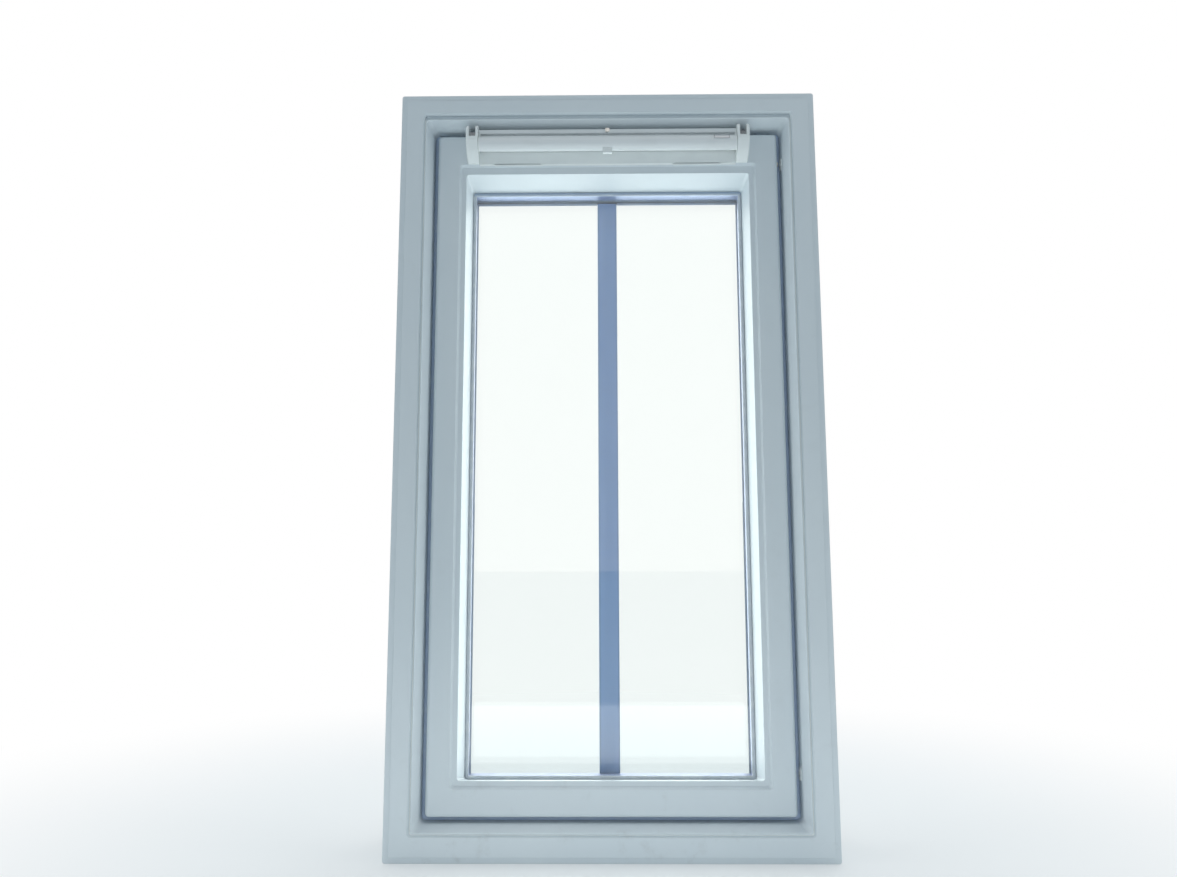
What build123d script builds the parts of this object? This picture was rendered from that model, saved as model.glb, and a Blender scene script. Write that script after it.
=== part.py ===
from build123d import *
import os

os.makedirs("parts", exist_ok=True)

# Axes: X to the right, Y from the room to the outside, Z up. The origin is the middle of the frame's
# underside, half way through its depth. All sizes are in millimetres.

# Outer frame
frame_width = 550
frame_height = 978
frame_depth = 100
frame_corner = 3
opening_corner = 6
crest_corner = 5
crease_corner = 3
gap = 6.4
lip_width = 5.8
lip_foot_round = 24
sill_fall = 3
crest_width = 1
crest_round = 1
crease_width = 1.6
crease_depth = 6
crease_head_extra = 4.8
band_width_side = 31.2
band_width_ends = 32.2
band_bevel = 2.5
band_step_width = 7
band_step_depth = 1.5
collar_groove_width = 5
collar_groove_depth = 4
collar_groove_from_out = 42
overcut = 1
pick = 0.05

# Sash
sash_behind_frame = 4
sash_set_back = 20
sash_corner = 5
sash_edge_round = 5
stile_width = 38.3
bottom_rail_width = 42.4
head_width = 53.5
ledge_width = 6
head_ledge_width = 9.5
ledge_depth = 5
step_slope = 2.6
well_taper = 3.9
well_fall = 8.6
well_corner = 4

# Glass unit
glass_edge_cover = 10
glass_room = 3
glass_set_in = 2
pane_thickness = 4
cavity = 16
gasket_thickness = 2
gasket_reach = 4.5
gasket_lip = 1.6
gasket_lip_bevel = 1.2
gasket_ease = 0.5
spacer_width = 11
spacer_inset = 1.5
bar_strip_width = 27
bar_strip_height = 8
bar_strip_bevel = 1.5

# Pivot
pivot_above_middle = 5
pivot_pin_radius = 4
pivot_clearance = 0.05
eye_radius = 9
hinge_plate = 2.6
hinge_gap = 0.6
pin_end_gap = 0.2
sash_hinge_half_height = 30
hinge_behind_seal = 14
frame_hinge_half_height = 22
frame_hinge_depth = 40
hinge_leg_thickness = 3
hinge_leg_reach = 27
hinge_corner = 5

# Seal in the gap
seal_depth = 8
seal_set_back = 16
seal_clearance = 0.5
seal_sill_clearance = 3.4

# Control bar, flap and brackets
bracket_width = 16
bracket_from_edge = 56.3
bracket_above_sash = 5
bracket_proud = 23
bracket_foot = 3
bracket_taper = 25
bracket_swell = 3
bracket_crown = 7
bracket_bevel = 1.5
bracket_cheek = 3.2
spring_radius = 6.4
spring_width = 9
spring_clearance = 0.3
bar_end_gap = 0.5
bar_height = 21.2
bar_bulge = 8.5
bar_wall = 1.6
bar_back_set = 14
bar_top_below_sash = 8.7
flap_wall = 2.2
flap_above_sash = 0.8
flap_height = 24.8
flap_face_gap = 0.6
flap_top_gap = 4
flap_strip_height = 5.3
flap_groove_depth = 5
flap_groove_overlap = 1
bar_axis_set = 8
bar_axis_below_sash = 5
cap_thickness = 1.8
cap_set_in = 1
cap_pin_radius = 2
cap_pin_bearing = 2.4
cap_pin_clearance = 0.06
tongue_width = 5.5
tongue_thickness = 2.4
tongue_height = 6
tongue_above_flap = 1.5
tab_width = 12
tab_drop = 4.5
tab_thickness = 5
tab_root = 3
plate_width = 21
plate_thickness = 0.5
plate_from_bar_end = 8
plate_low_deg = 12
plate_high_deg = 58

# Panel in the head, with its slots
panel_thickness = 2.5
panel_height = 18
panel_clearance = 0.2
slot_length = 61.3
slot_from_bracket = 52.3
slot_height = 1.3
slot_rim = 1.5
slot_lip_height = 1.2
slot_lip_proud = 0.6

# Air ducts and filters
duct_inner = 45
duct_from_bracket = 7.7
duct_height = 12
duct_corner = 3
duct_below_sash = 9
filter_set_in = 2

# Latch
case_width = 64
case_depth = 16
case_height = 25
case_set_back = 26
case_clearance = 0.2
latch_off_middle = 1
latch_width = 24
latch_thickness = 6
latch_length = 20.5
latch_proud = 8.5
latch_clearance = 0.3
latch_travel = 9
latch_bevel = 3
striker_width = 60
striker_depth = 21
striker_corner = 2
striker_thickness = 1.5
striker_slot_ease = 0.8
striker_pocket_ease = 1.5
striker_pocket_height = 10

# Barrel bolt and its bushes
bolt_radius = 3.5
bolt_set_back = 10
bolt_below_sash_top = 40
bolt_length = 35
bolt_proud = 2.2
bolt_clearance = 0.06
bolt_nose = 0.8
sleeve_radius = 5
sleeve_length = 42
sleeve_end = 3
bush_bore_radius = 3.8
bush_length = 12
bush_flange = 1.2
bush_flange_width = 11
bush_flange_height = 17
press_clearance = 0.05

# Outside covers
sheet = 1.2
frame_cover_rise = 7.2
cover_lap = 2.5
cover_side_turn = 20
top_cover_lap = 15
top_cover_lip = 6.5
top_cover_return = 26
side_cover_above_pivot = 50
lower_cover_below_pivot = 50
lower_cover_margin = 1.6
bottom_cover_below_sash = 10
bottom_cover_low = 2
sash_cover_below_pivot = 56
sash_cover_rise = 8
sash_cover_margin = 13
sash_cover_lip = 5.5
glass_cover_margin = 2.2
glass_cover_from_edge = 4
glass_cover_rise = 6
glass_cover_top_rise = 4
cover_joint = 0.6
sash_bottom_cover_drop = 33
sash_bottom_cover_margin = 9.3
clip_from_edge = 16
clip_width = 16
clip_length = 12
clip_from_end = 50
clip_inner_x = 70

# Screws, kept six-sided so that the many alike stay light
screw_radius = 1.95
screw_hole_radius = 2
screw_sides = 6
screw_length = 14
screw_head_radius = 3.8
screw_head_height = 2
screw_from_out = 10
screw_from_end = 60
top_screw_from_edge = 95
bottom_screw_from_edge = 155
bottom_screw_below_edge = 12

# Holes for the fixing brackets on the frame's outer sides
fixing_radius = 2.5
fixing_depth = 14
fixing_spacing_y = 30
fixing_from_end = 129
fixing_from_room = 35

# Places worked out from the sizes above
room_y = -frame_depth / 2
out_y = frame_depth / 2
sash_y = room_y + sash_set_back
back_y = out_y - sash_behind_frame
sash_depth = back_y - sash_y
half_frame = frame_width / 2
crease_in = gap + lip_width + crest_width
crease_out = crease_in + crease_width
sash_width = frame_width - 2 * (crease_out + band_width_side)
sash_height = frame_height - 2 * (crease_out + band_width_ends)
half_sash = sash_width / 2
middle_z = frame_height / 2
sash_low = middle_z - sash_height / 2
sash_top = middle_z + sash_height / 2
wall_x = half_sash + gap
wall_low = sash_low - gap
wall_top = sash_top + gap
ledge_y = sash_y + ledge_depth
seat_y = back_y - glass_set_in - 2 * pane_thickness - cavity - gasket_thickness
pane_y = seat_y + gasket_thickness
cavity_y = pane_y + pane_thickness
outer_pane_y = cavity_y + cavity
glass_out_y = outer_pane_y + pane_thickness
pivot_y = out_y
pivot_z = middle_z + pivot_above_middle
well_half = half_sash - stile_width
well_low = sash_low + bottom_rail_width
well_top = sash_top - head_width
well_height = well_top - well_low
well_z = (well_low + well_top) / 2
seat_half = well_half - well_taper
seat_z = well_z - well_fall
glass_half = seat_half + glass_edge_cover
glass_height = well_height + 2 * glass_edge_cover
view_half = seat_half - gasket_reach
view_height = well_height - 2 * gasket_reach
view_top = seat_z + view_height / 2
view_low = seat_z - view_height / 2
seal_y = sash_y + seal_set_back
sash_hinge_depth = back_y - seal_y - seal_depth - hinge_behind_seal
bolt_y = sash_y + bolt_set_back
bolt_z = sash_top - bolt_below_sash_top
low_bush_z = 2 * pivot_z - bolt_z
bar_back_y = sash_y - bar_back_set
bar_high = sash_top - bar_top_below_sash
bar_low = bar_high - bar_height
bar_mid_z = (bar_low + bar_high) / 2
bar_front_y = bar_back_y - bar_bulge
bar_arc = (bar_height**2 / 4 + bar_bulge**2) / (2 * bar_bulge)
bar_arc_y = bar_front_y + bar_arc
bracket_inner = half_sash - bracket_from_edge
bar_half = bracket_inner - bar_end_gap - cap_thickness
flap_top = sash_top + flap_above_sash
flap_low = flap_top - flap_height
bar_axis_y = sash_y - bar_axis_set
bar_axis_z = sash_top - bar_axis_below_sash
panel_low = well_top + head_ledge_width + step_slope
slot_middle = bracket_inner - slot_from_bracket
duct_outer = bracket_inner - duct_from_bracket
case_y = sash_y + case_set_back
latch_y = case_y + case_depth / 2 + latch_off_middle
latch_low = sash_top + latch_proud - latch_length
cover_edge_x = half_sash - cover_lap
lower_cover_x = wall_x + lower_cover_margin
sash_cover_x = half_frame - sash_cover_margin
glass_cover_inner = view_half + glass_cover_margin
glass_cover_outer = half_sash - glass_cover_from_edge
frame_cover_y = out_y + frame_cover_rise
sash_cover_y = out_y + sash_cover_rise
glass_cover_y = back_y + glass_cover_rise
sash_cover_top = pivot_z - sash_cover_below_pivot
sash_bottom_cover_low = sash_low - sash_bottom_cover_drop
sash_bottom_cover_high = view_low - sash_bottom_cover_margin
lower_cover_top = pivot_z - lower_cover_below_pivot
bottom_cover_high = sash_low - bottom_cover_below_sash
hood_low = sash_top - top_cover_lap
side_low = pivot_z + side_cover_above_pivot
side_high = hood_low - cover_joint
clip_x = half_sash - clip_from_edge
top_screw_x = half_frame - top_screw_from_edge
bottom_screw_x = half_frame - bottom_screw_from_edge
bottom_screw_z = bottom_cover_high - bottom_screw_below_edge
fixing_spacing_z = frame_height - 2 * fixing_from_end
fixing_y = room_y + fixing_from_room
screw_side_y = out_y - screw_from_out
collar_groove_y = out_y - collar_groove_from_out


def facing(y):
    # a plane parallel to the glass; a sketch on it is extruded towards the room
    return Plane.XZ.offset(-y)


def ring_margin(edge):
    # how far the edge's outermost point lies outside the sash's outline
    box = edge.bounding_box()
    across = max(-box.min.X, box.max.X) - half_sash
    up = max(middle_z - box.min.Z, box.max.Z - middle_z) - sash_height / 2
    return max(across, up)


def folded_sheet(*points, mirrored=False):
    # the section of a folded sheet, laid to the right of its bend line
    with BuildSketch() as section:
        with BuildLine():
            Polyline(*points)
            offset(amount=sheet, side=Side.RIGHT, kind=Kind.INTERSECTION)
        make_face()
        if mirrored:
            mirror(about=Plane.YZ, mode=Mode.REPLACE)
    return section.sketch


# Outer frame: one moulded ring with a flat band, a crease and a curved lip round the opening
cover_screw_places = []
side_screw_heights = (
    bottom_cover_low + screw_from_end,
    lower_cover_top - screw_from_end,
    side_low + screw_from_end,
    side_high - screw_from_end,
)
for x in (-top_screw_x, 0, top_screw_x):
    cover_screw_places.append(Plane(origin=(x, screw_side_y, frame_height), z_dir=(0, 0, 1)))
for sign in (-1, 1):
    for z in side_screw_heights:
        place = Plane(origin=(sign * half_frame, screw_side_y, z), x_dir=(0, 1, 0), z_dir=(sign, 0, 0))
        cover_screw_places.append(place)
    low = Plane(origin=(sign * bottom_screw_x, out_y, bottom_screw_z), z_dir=(0, 1, 0))
    cover_screw_places.append(low)

with BuildPart() as outer_frame:
    with BuildSketch(facing(out_y)):
        with Locations((0, middle_z)):
            RectangleRounded(frame_width, frame_height, frame_corner)
    extrude(amount=frame_depth)

    # the opening, with a sill that falls to the outside
    with BuildSketch(facing(out_y)):
        with Locations((0, middle_z - sill_fall / 2)):
            RectangleRounded(2 * wall_x, wall_top - wall_low + sill_fall, opening_corner)
    with BuildSketch(facing(sash_y)):
        with Locations((0, middle_z)):
            RectangleRounded(2 * wall_x, wall_top - wall_low, opening_corner)
    loft(ruled=True, mode=Mode.SUBTRACT)

    # the lip slopes out to the room face
    with BuildSketch(facing(sash_y)):
        with Locations((0, middle_z)):
            RectangleRounded(2 * wall_x, wall_top - wall_low, opening_corner)
    with BuildSketch(facing(room_y)):
        with Locations((0, middle_z)):
            RectangleRounded(2 * (wall_x + lip_width), wall_top - wall_low + 2 * lip_width, crest_corner)
    loft(ruled=True, mode=Mode.SUBTRACT)

    # the crease between lip and band, wider along the head
    crease_height = sash_height + 2 * crease_out + crease_head_extra
    with BuildSketch(facing(room_y + crease_depth)):
        with Locations((0, middle_z + crease_head_extra / 2)):
            RectangleRounded(sash_width + 2 * crease_out, crease_height, crease_corner)
        with Locations((0, middle_z)):
            RectangleRounded(
                sash_width + 2 * crease_in, sash_height + 2 * crease_in, crease_corner, mode=Mode.SUBTRACT
            )
    extrude(amount=crease_depth, mode=Mode.SUBTRACT)

    # the band's outer edge is stepped back
    with BuildSketch(facing(room_y + band_step_depth)):
        with Locations((0, middle_z)):
            Rectangle(frame_width + 2 * overcut, frame_height + 2 * overcut)
            Rectangle(
                frame_width - 2 * band_step_width,
                frame_height - 2 * band_step_width,
                mode=Mode.SUBTRACT,
            )
    extrude(amount=band_step_depth, mode=Mode.SUBTRACT)

    # groove round the outside for the underlay collar
    with BuildSketch(facing(collar_groove_y + collar_groove_width)):
        with Locations((0, middle_z)):
            Rectangle(frame_width + 2 * overcut, frame_height + 2 * overcut)
            Rectangle(
                frame_width - 2 * collar_groove_depth,
                frame_height - 2 * collar_groove_depth,
                mode=Mode.SUBTRACT,
            )
    extrude(amount=collar_groove_width, mode=Mode.SUBTRACT)

    # soften the band's inner edge, the lip's crest and its foot
    room_edges = outer_frame.edges().filter_by_position(Axis.Y, room_y - pick, room_y + pick)
    band_margins = (crease_out - pick, crease_out + crease_head_extra + pick)
    band_edges = room_edges.filter_by(lambda edge: band_margins[0] < ring_margin(edge) < band_margins[1])
    chamfer(band_edges, length=band_bevel)
    foot_edges = outer_frame.edges().filter_by_position(Axis.Y, sash_y - pick, sash_y + pick)
    foot_edges = foot_edges.filter_by(lambda edge: abs(ring_margin(edge) - gap) < pick)
    fillet(foot_edges, radius=lip_foot_round)
    room_edges = outer_frame.edges().filter_by_position(Axis.Y, room_y - pick, room_y + pick)
    crest_edges = room_edges.filter_by(lambda edge: abs(ring_margin(edge) - gap - lip_width) < pick)
    fillet(crest_edges, radius=crest_round)

    # pocket for the latch behind the striker plate
    with BuildSketch(Plane.XY.offset(wall_top)):
        with Locations((0, latch_y)):
            Rectangle(latch_width + 2 * striker_pocket_ease, latch_thickness + 2 * striker_pocket_ease)
    extrude(amount=striker_pocket_height, mode=Mode.SUBTRACT)

    # holes for the bolt's bushes
    with BuildSketch(Plane.YZ.offset(wall_x)):
        with Locations((bolt_y, bolt_z), (bolt_y, low_bush_z)):
            Circle(sleeve_radius + press_clearance)
    extrude(amount=bush_length, mode=Mode.SUBTRACT)

    # holes for the covers' screws
    for place in cover_screw_places:
        with BuildSketch(place):
            RegularPolygon(screw_hole_radius, screw_sides)
        extrude(amount=-screw_length, mode=Mode.SUBTRACT)

    # holes for the fixing brackets
    for sign in (-1, 1):
        side_middle = (sign * half_frame, fixing_y, middle_z)
        with BuildSketch(Plane(origin=side_middle, x_dir=(0, 1, 0), z_dir=(sign, 0, 0))):
            with GridLocations(fixing_spacing_y, fixing_spacing_z, 2, 2):
                Circle(fixing_radius)
        extrude(amount=-fixing_depth, mode=Mode.SUBTRACT)
outer_frame.part.label = "outer_frame"
export_step(outer_frame.part, "parts/outer_frame.step")

# Seal: a rubber ring on the frame's wall, just clear of the sash
with BuildPart() as frame_seal:
    seal_outer_low = wall_low - sill_fall * (seal_y - sash_y) / (out_y - sash_y)
    seal_inner_low = sash_low - seal_sill_clearance
    seal_inner_top = sash_top + seal_clearance
    with BuildSketch(facing(seal_y + seal_depth)):
        with Locations((0, (seal_outer_low + wall_top) / 2)):
            RectangleRounded(2 * wall_x, wall_top - seal_outer_low, opening_corner)
        with Locations((0, (seal_inner_low + seal_inner_top) / 2)):
            RectangleRounded(
                2 * (half_sash + seal_clearance),
                seal_inner_top - seal_inner_low,
                sash_corner,
                mode=Mode.SUBTRACT,
            )
    extrude(amount=seal_depth)
frame_seal.part.label = "frame_seal"
export_step(frame_seal.part, "parts/frame_seal.step")

# Striker plate in the frame's head
with BuildPart() as striker_plate:
    with BuildSketch(Plane.XY.offset(wall_top - striker_thickness)):
        with Locations((0, latch_y)):
            RectangleRounded(striker_width, striker_depth, striker_corner)
            Rectangle(
                latch_width + 2 * striker_slot_ease,
                latch_thickness + 2 * striker_slot_ease,
                mode=Mode.SUBTRACT,
            )
    extrude(amount=striker_thickness)
striker_plate.part.label = "striker_plate"
export_step(striker_plate.part, "parts/striker_plate.step")

# Bushes for the barrel bolt: two alike, one above and one below the pivot
with BuildPart() as bolt_bushes:
    with BuildSketch(Plane.YZ.offset(wall_x - bush_flange)):
        with Locations((bolt_y, bolt_z), (bolt_y, low_bush_z)):
            SlotOverall(bush_flange_height, bush_flange_width, rotation=90)
    extrude(amount=bush_flange)
    with BuildSketch(Plane.YZ.offset(wall_x)):
        with Locations((bolt_y, bolt_z), (bolt_y, low_bush_z)):
            Circle(sleeve_radius)
    extrude(amount=bush_length)
    with BuildSketch(Plane.YZ.offset(wall_x - bush_flange)):
        with Locations((bolt_y, bolt_z), (bolt_y, low_bush_z)):
            Circle(bush_bore_radius)
    extrude(amount=bush_flange + bush_length, mode=Mode.SUBTRACT)
bolt_bushes.part.label = "bolt_bushes"
export_step(bolt_bushes.part, "parts/bolt_bushes.step")

# Sash: one moulded ring with a stepped ledge and a tapered light well
with BuildPart() as sash_frame:
    with BuildSketch(facing(back_y)):
        with Locations((0, middle_z)):
            RectangleRounded(sash_width, sash_height, sash_corner)
    extrude(amount=sash_depth)
    room_edges = sash_frame.edges().filter_by_position(Axis.Y, sash_y - pick, sash_y + pick)
    fillet(room_edges, radius=sash_edge_round)

    # the step from the face down to the ledge, which is wider under the head
    step_width = 2 * (well_half + ledge_width)
    step_height = well_height + ledge_width + head_ledge_width
    step_z = well_z + (head_ledge_width - ledge_width) / 2
    with BuildSketch(facing(ledge_y)):
        with Locations((0, step_z)):
            RectangleRounded(step_width, step_height, well_corner)
    with BuildSketch(facing(sash_y)):
        with Locations((0, step_z)):
            RectangleRounded(step_width + 2 * step_slope, step_height + 2 * step_slope, well_corner)
    loft(ruled=True, mode=Mode.SUBTRACT)

    # the light well narrows and falls to the glass
    with BuildSketch(facing(seat_y)):
        with Locations((0, seat_z)):
            RectangleRounded(2 * seat_half, well_height, well_corner)
    with BuildSketch(facing(ledge_y)):
        with Locations((0, well_z)):
            RectangleRounded(2 * well_half, well_height, well_corner)
    loft(ruled=True, mode=Mode.SUBTRACT)

    # the rebate for the glass unit
    with BuildSketch(facing(back_y)):
        with Locations((0, seat_z)):
            Rectangle(2 * (glass_half + glass_room), glass_height + 2 * glass_room)
    extrude(amount=back_y - seat_y, mode=Mode.SUBTRACT)

    # seat of the panel in the head
    with BuildSketch(facing(sash_y + panel_thickness)):
        with Locations((0, panel_low + (panel_height - step_slope) / 2)):
            Rectangle(
                2 * (bracket_inner + panel_clearance), panel_height + step_slope + 2 * panel_clearance
            )
    extrude(amount=panel_thickness, mode=Mode.SUBTRACT)

    # the two air ducts
    duct_z = sash_top - duct_below_sash - duct_height / 2
    for sign in (-1, 1):
        with BuildSketch(facing(back_y)):
            with Locations((sign * (duct_inner + duct_outer) / 2, duct_z)):
                RectangleRounded(duct_outer - duct_inner, duct_height, duct_corner)
        extrude(amount=sash_depth, mode=Mode.SUBTRACT)

    # pocket for the lock case
    with BuildSketch(Plane.XY.offset(sash_top - case_height - case_clearance)):
        with Locations((0, case_y + case_depth / 2)):
            Rectangle(case_width + 2 * case_clearance, case_depth + 2 * case_clearance)
    extrude(amount=case_height + case_clearance, mode=Mode.SUBTRACT)

    # bore for the bolt's sleeve
    with BuildSketch(Plane.YZ.offset(half_sash - sleeve_length)):
        with Locations((bolt_y, bolt_z)):
            Circle(sleeve_radius + press_clearance)
    extrude(amount=sleeve_length, mode=Mode.SUBTRACT)
sash_frame.part.label = "sash_frame"
export_step(sash_frame.part, "parts/sash_frame.step")

# Panel in the head, with an air slot at its lower edge over a thin raised lip on either side
with BuildPart() as head_cover:
    panel_edge = panel_low - step_slope * panel_thickness / ledge_depth
    with BuildSketch(Plane.YZ.offset(-bracket_inner)):
        with BuildLine():
            Polyline(
                (sash_y, panel_low),
                (sash_y, panel_low + panel_height),
                (sash_y + panel_thickness, panel_low + panel_height),
                (sash_y + panel_thickness, panel_edge),
                close=True,
            )
        make_face()
    extrude(amount=2 * bracket_inner)
    with BuildSketch(facing(sash_y + panel_thickness)):
        with Locations((-slot_middle, panel_low), (slot_middle, panel_low)):
            Rectangle(slot_length + 2 * slot_rim, slot_height + 2 * slot_lip_height)
    extrude(amount=panel_thickness)
    with BuildSketch(facing(sash_y)):
        lip_z = panel_low - (slot_height + slot_lip_height) / 2
        with Locations((-slot_middle, lip_z), (slot_middle, lip_z)):
            Rectangle(slot_length + 2 * slot_rim, slot_lip_height)
    extrude(amount=slot_lip_proud)
    with BuildSketch(facing(sash_y + panel_thickness)):
        with Locations((-slot_middle, panel_low), (slot_middle, panel_low)):
            Rectangle(slot_length, slot_height)
    extrude(amount=panel_thickness, mode=Mode.SUBTRACT)
head_cover.part.label = "head_cover"
export_step(head_cover.part, "parts/head_cover.step")

# Glass unit: gasket, inner pane, spacer and outer pane
with BuildPart() as glazing_gasket:
    with BuildSketch(facing(pane_y)):
        with Locations((0, seat_z)):
            Rectangle(2 * glass_half, glass_height)
            Rectangle(2 * view_half, view_height, mode=Mode.SUBTRACT)
    extrude(amount=gasket_thickness)
    with BuildSketch(facing(seat_y)):
        with Locations((0, seat_z)):
            RectangleRounded(
                2 * (seat_half - gasket_ease), well_height - 2 * gasket_ease, well_corner - gasket_ease
            )
            Rectangle(2 * view_half, view_height, mode=Mode.SUBTRACT)
    extrude(amount=gasket_lip)
    lip_face = glazing_gasket.faces().sort_by(Axis.Y)[0]
    chamfer(lip_face.inner_wires()[0].edges(), length=gasket_lip_bevel)
glazing_gasket.part.label = "glazing_gasket"
export_step(glazing_gasket.part, "parts/glazing_gasket.step")

for label, y in (("inner_pane", pane_y), ("outer_pane", outer_pane_y)):
    with BuildPart() as pane:
        with BuildSketch(facing(y + pane_thickness)):
            with Locations((0, seat_z)):
                Rectangle(2 * glass_half, glass_height)
        extrude(amount=pane_thickness)
    pane.part.label = label
    export_step(pane.part, f"parts/{label}.step")

with BuildPart() as pane_spacer:
    with BuildSketch(facing(outer_pane_y)):
        with Locations((0, seat_z)):
            spacer_half = glass_half - spacer_inset
            spacer_height = glass_height - 2 * spacer_inset
            Rectangle(2 * spacer_half, spacer_height)
            Rectangle(2 * (spacer_half - spacer_width), spacer_height - 2 * spacer_width, mode=Mode.SUBTRACT)
    extrude(amount=cavity)
pane_spacer.part.label = "pane_spacer"
export_step(pane_spacer.part, "parts/pane_spacer.step")

# Upright glazing bar on the outer pane
with BuildPart() as glazing_bar:
    strip_low = sash_bottom_cover_high + cover_joint
    strip_high = view_top - cover_joint
    with BuildSketch(Plane.XY.offset(strip_low)):
        with Locations((0, glass_out_y + bar_strip_height / 2)):
            Rectangle(bar_strip_width, bar_strip_height)
    extrude(amount=strip_high - strip_low)
    outer_edges = glazing_bar.edges().filter_by(Axis.Z).group_by(Axis.Y)[-1]
    chamfer(outer_edges, length=bar_strip_bevel)
glazing_bar.part.label = "glazing_bar"
export_step(glazing_bar.part, "parts/glazing_bar.step")

# Filter strips in the air ducts
for side, sign in (("left", -1), ("right", 1)):
    with BuildPart() as vent_filter:
        with BuildSketch(facing(back_y - filter_set_in)):
            with Locations((sign * (duct_inner + duct_outer) / 2, duct_z)):
                RectangleRounded(duct_outer - duct_inner, duct_height, duct_corner)
        extrude(amount=sash_depth - 2 * filter_set_in)
    vent_filter.part.label = f"vent_filter_{side}"
    export_step(vent_filter.part, f"parts/vent_filter_{side}.step")

# Lock case with a well for the latch
with BuildPart() as lock_case:
    with BuildSketch(Plane.XY.offset(sash_top - case_height)):
        with Locations((0, case_y + case_depth / 2)):
            Rectangle(case_width, case_depth)
    extrude(amount=case_height)
    with BuildSketch(Plane.XY.offset(latch_low - latch_travel - latch_clearance)):
        with Locations((0, latch_y)):
            Rectangle(latch_width + 2 * latch_clearance, latch_thickness + 2 * latch_clearance)
    extrude(amount=case_height, mode=Mode.SUBTRACT)
lock_case.part.label = "lock_case"
export_step(lock_case.part, "parts/lock_case.step")

# Latch: a flat bolt with a bevelled nose
with BuildPart() as latch_bolt:
    with BuildSketch(Plane.XY.offset(latch_low)):
        with Locations((0, latch_y)):
            Rectangle(latch_width, latch_thickness)
    extrude(amount=latch_length)
    nose = latch_bolt.edges().filter_by(Axis.X).group_by(Axis.Z)[-1].sort_by(Axis.Y)[0]
    chamfer(nose, length=latch_bevel)
latch_bolt.part.label = "latch_bolt"
export_step(latch_bolt.part, "parts/latch_bolt.step")

# Sleeve and barrel bolt
with BuildPart() as bolt_sleeve:
    with BuildSketch(Plane.YZ.offset(half_sash - sleeve_length)):
        with Locations((bolt_y, bolt_z)):
            Circle(sleeve_radius)
    extrude(amount=sleeve_length)
    with BuildSketch(Plane.YZ.offset(half_sash - sleeve_length + sleeve_end)):
        with Locations((bolt_y, bolt_z)):
            Circle(bolt_radius + bolt_clearance)
    extrude(amount=sleeve_length, mode=Mode.SUBTRACT)
bolt_sleeve.part.label = "bolt_sleeve"
export_step(bolt_sleeve.part, "parts/bolt_sleeve.step")

with BuildPart() as barrel_bolt:
    bolt_tip = half_sash + bolt_proud
    with BuildSketch(Plane.XY.offset(bolt_z)):
        with BuildLine():
            Polyline(
                (bolt_tip - bolt_length, bolt_y),
                (bolt_tip - bolt_length, bolt_y + bolt_radius),
                (bolt_tip - bolt_nose, bolt_y + bolt_radius),
                (bolt_tip, bolt_y + bolt_radius - bolt_nose),
                (bolt_tip, bolt_y),
                close=True,
            )
        make_face()
    revolve(axis=Axis((0, bolt_y, bolt_z), (1, 0, 0)))
barrel_bolt.part.label = "barrel_bolt"
export_step(barrel_bolt.part, "parts/barrel_bolt.step")

# Pivot hinges: an eye plate on the sash and an ear with its pin on the frame
for side, sign in (("left", -1), ("right", 1)):
    with BuildPart() as sash_hinge:
        with BuildSketch(Plane.YZ.offset(sign * half_sash)):
            with Locations((back_y - sash_hinge_depth / 2, pivot_z)):
                RectangleRounded(sash_hinge_depth, 2 * sash_hinge_half_height, hinge_corner)
            with Locations((pivot_y, pivot_z)):
                Circle(eye_radius)
            with Locations((pivot_y - eye_radius, pivot_z)):
                Rectangle(2 * eye_radius, 2 * eye_radius)
            with Locations((pivot_y, pivot_z)):
                Circle(pivot_pin_radius + pivot_clearance, mode=Mode.SUBTRACT)
        extrude(amount=sign * hinge_plate)
    sash_hinge.part.label = f"sash_hinge_{side}"
    export_step(sash_hinge.part, f"parts/sash_hinge_{side}.step")

    ear_x = half_sash + hinge_plate + hinge_gap
    with BuildPart() as frame_hinge:
        with BuildSketch(Plane.YZ.offset(sign * ear_x)):
            with Locations((out_y + hinge_leg_thickness - frame_hinge_depth / 2, pivot_z)):
                RectangleRounded(frame_hinge_depth, 2 * frame_hinge_half_height, hinge_corner)
            with Locations((pivot_y, pivot_z)):
                Circle(eye_radius)
        extrude(amount=sign * hinge_plate)
        leg_z = pivot_z - frame_hinge_half_height
        with BuildSketch(Plane.XY.offset(leg_z)):
            with Locations((sign * (ear_x + hinge_leg_reach / 2), out_y + hinge_leg_thickness / 2)):
                Rectangle(hinge_leg_reach, hinge_leg_thickness)
        extrude(amount=2 * frame_hinge_half_height)
        with BuildSketch(Plane.YZ.offset(sign * ear_x)):
            with Locations((pivot_y, pivot_z)):
                Circle(pivot_pin_radius)
        extrude(amount=-sign * (hinge_plate + hinge_gap - pin_end_gap))
    frame_hinge.part.label = f"frame_hinge_{side}"
    export_step(frame_hinge.part, f"parts/frame_hinge_{side}.step")

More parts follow.
